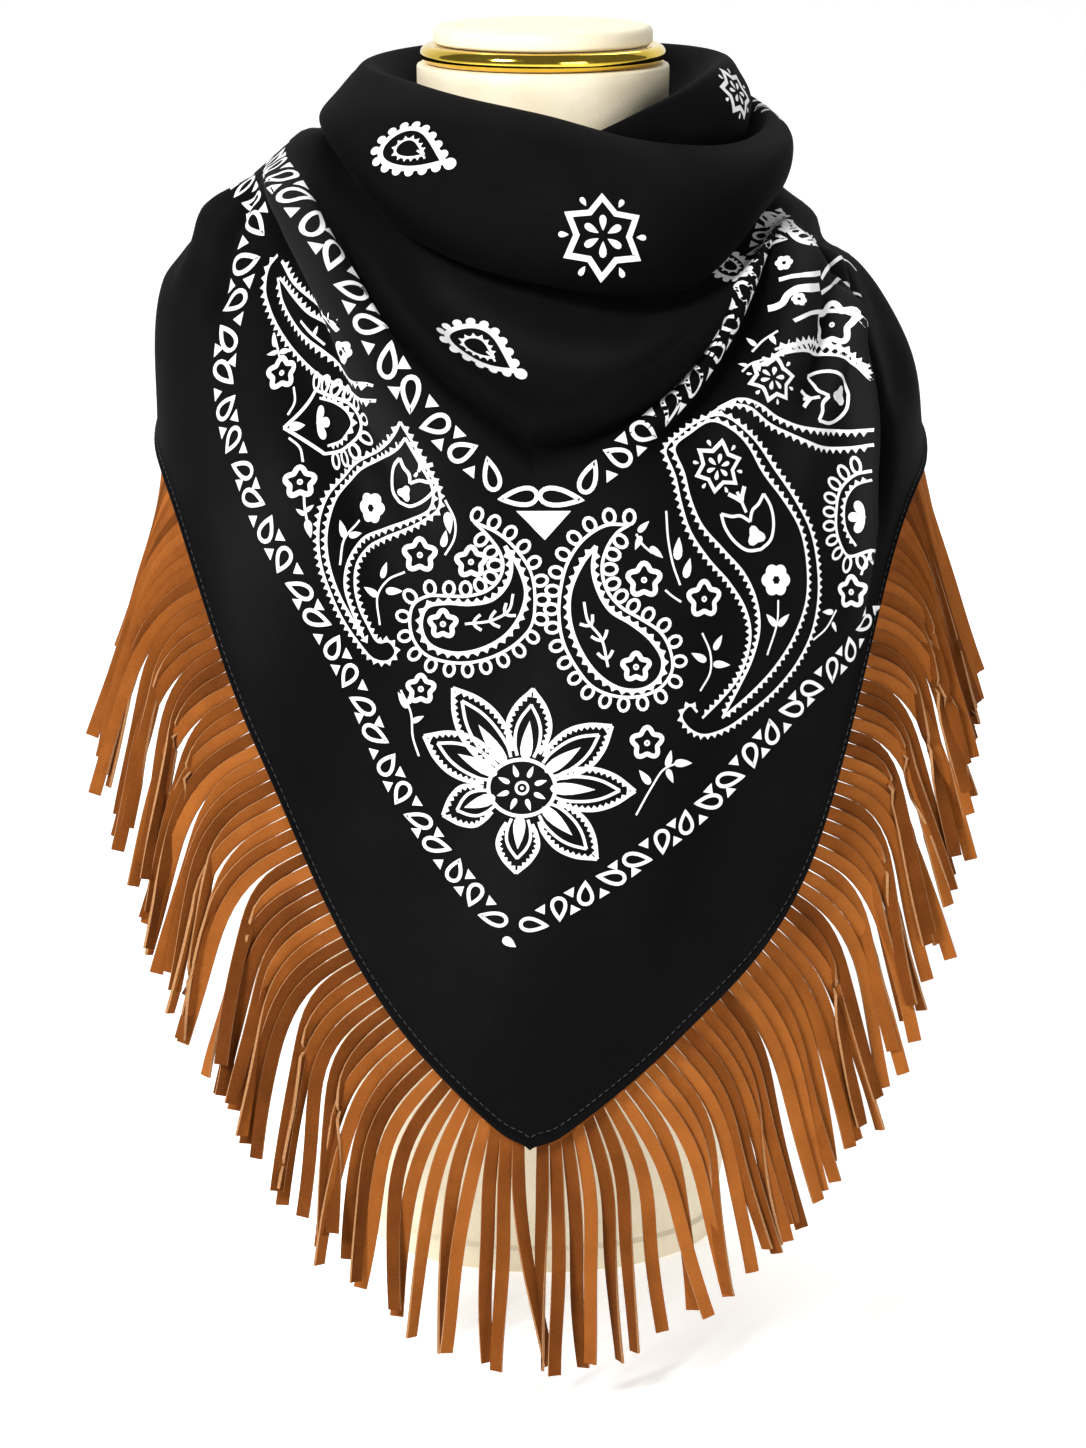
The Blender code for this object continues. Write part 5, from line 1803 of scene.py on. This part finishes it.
def print_cowl(sheet, material):
    ink = Ink(sheet)
    for x, y, angle in COWL_PAISLEYS:
        knobbed_paisley(seen_motif(ink, (x, y), angle, 1.28))
    for x, y, radius in COWL_STARS:
        star(seen_motif(ink, (x, y), 90), radius, 2.1)
    for azimuth, row, kind, angle in COWL_REST:
        motif = placed_motif(ink, azimuth, row, angle)
        if kind == "star":
            star(motif, 17.0, 2.1)
        else:
            knobbed_paisley(motif)
    return ink.piece("cowl_print", material)


def print_turn(sheet, material):
    ink = Ink(sheet)
    for x, y, radius in TURN_STARS:
        star(seen_motif(ink, (x, y), 90), radius, 1.8)
    return ink.piece("turn_print", material)


# ------------------------------------------------------------------------------- stage
def make_stage():
    size, back, curve, steps = 9.0, 4.0, 2.0, 16
    profile = [(-size, 0.0)] + [
        (back - curve + curve * math.sin(t), curve - curve * math.cos(t))
        for t in np.linspace(0, math.pi / 2, steps)
    ]
    profile.append((back, 7.0))
    vertices = [(x, y, z) for y, z in profile for x in (-size, size)]
    faces = [[2 * i, 2 * i + 1, 2 * i + 3, 2 * i + 2] for i in range(len(profile) - 1)]
    mesh = bpy.data.meshes.new("floor")
    mesh.from_pydata(vertices, [], faces)
    n = Nodes("pale floor")
    tone = n.ramp(n.noise(3, 2), [(0.3, (0.90, 0.90, 0.90)), (0.7, (0.93, 0.93, 0.93))])
    mesh.materials.append(
        n.set(Base_Color=tone, Roughness=0.9, Emission_Color=(1, 1, 1, 1), Emission_Strength=0.42)
    )
    mesh.shade_smooth()
    floor = bpy.data.objects.new("floor", mesh)
    bpy.context.scene.collection.objects.link(floor)


def add_light(name, place, aim, size, power, colour=(1, 1, 1)):
    light = bpy.data.lights.new(name, "AREA")
    light.shape = "RECTANGLE"
    light.size, light.size_y = size
    light.energy = power
    light.color = colour
    lamp = bpy.data.objects.new(name, light)
    lamp.location = place
    lamp.rotation_euler = (Vector(aim) - Vector(place)).to_track_quat("-Z", "Y").to_euler()
    bpy.context.scene.collection.objects.link(lamp)


def make_lights():
    world = bpy.data.worlds.new("studio")
    bpy.context.scene.world = world
    world.use_nodes = True
    world.node_tree.nodes["Background"].inputs["Color"].default_value = (1, 1, 1, 1)
    world.node_tree.nodes["Background"].inputs["Strength"].default_value = 0.16
    add_light("key", (-1.4, -1.6, 1.9), (0, 0, 0.35), (0.7, 0.7), 80)
    add_light("fill", (1.2, -2.2, 0.8), (0, 0, 0.35), (1.0, 1.0), 20)
    add_light("rim", (0.2, 1.5, 2.2), (0, 0, 0.4), (1.6, 0.8), 22)


def make_camera():
    data = bpy.data.cameras.new("camera")
    data.sensor_width = SENSOR
    data.lens = PHOTO_FOCAL / PHOTO_SIZE[1] * SENSOR
    camera = bpy.data.objects.new("camera", data)
    camera.location = CAMERA_PLACE
    camera.rotation_euler = (math.pi / 2 - CAMERA_PITCH, 0, 0)
    bpy.context.scene.collection.objects.link(camera)
    bpy.context.scene.camera = camera



def main():
    bpy.context.scene.view_settings.view_transform = "Standard"
    make_camera()
    make_stage()
    make_lights()
    make_form(cover_material(), gold_material())
    panel, cowl, turn = make_cloth(cloth_material(), print_material(), thread_material())
    suede, cut = suede_material(), suede_edge_material()
    fringes = [make_fringe(side, suede, cut) for side in ("left", "right")]


main()
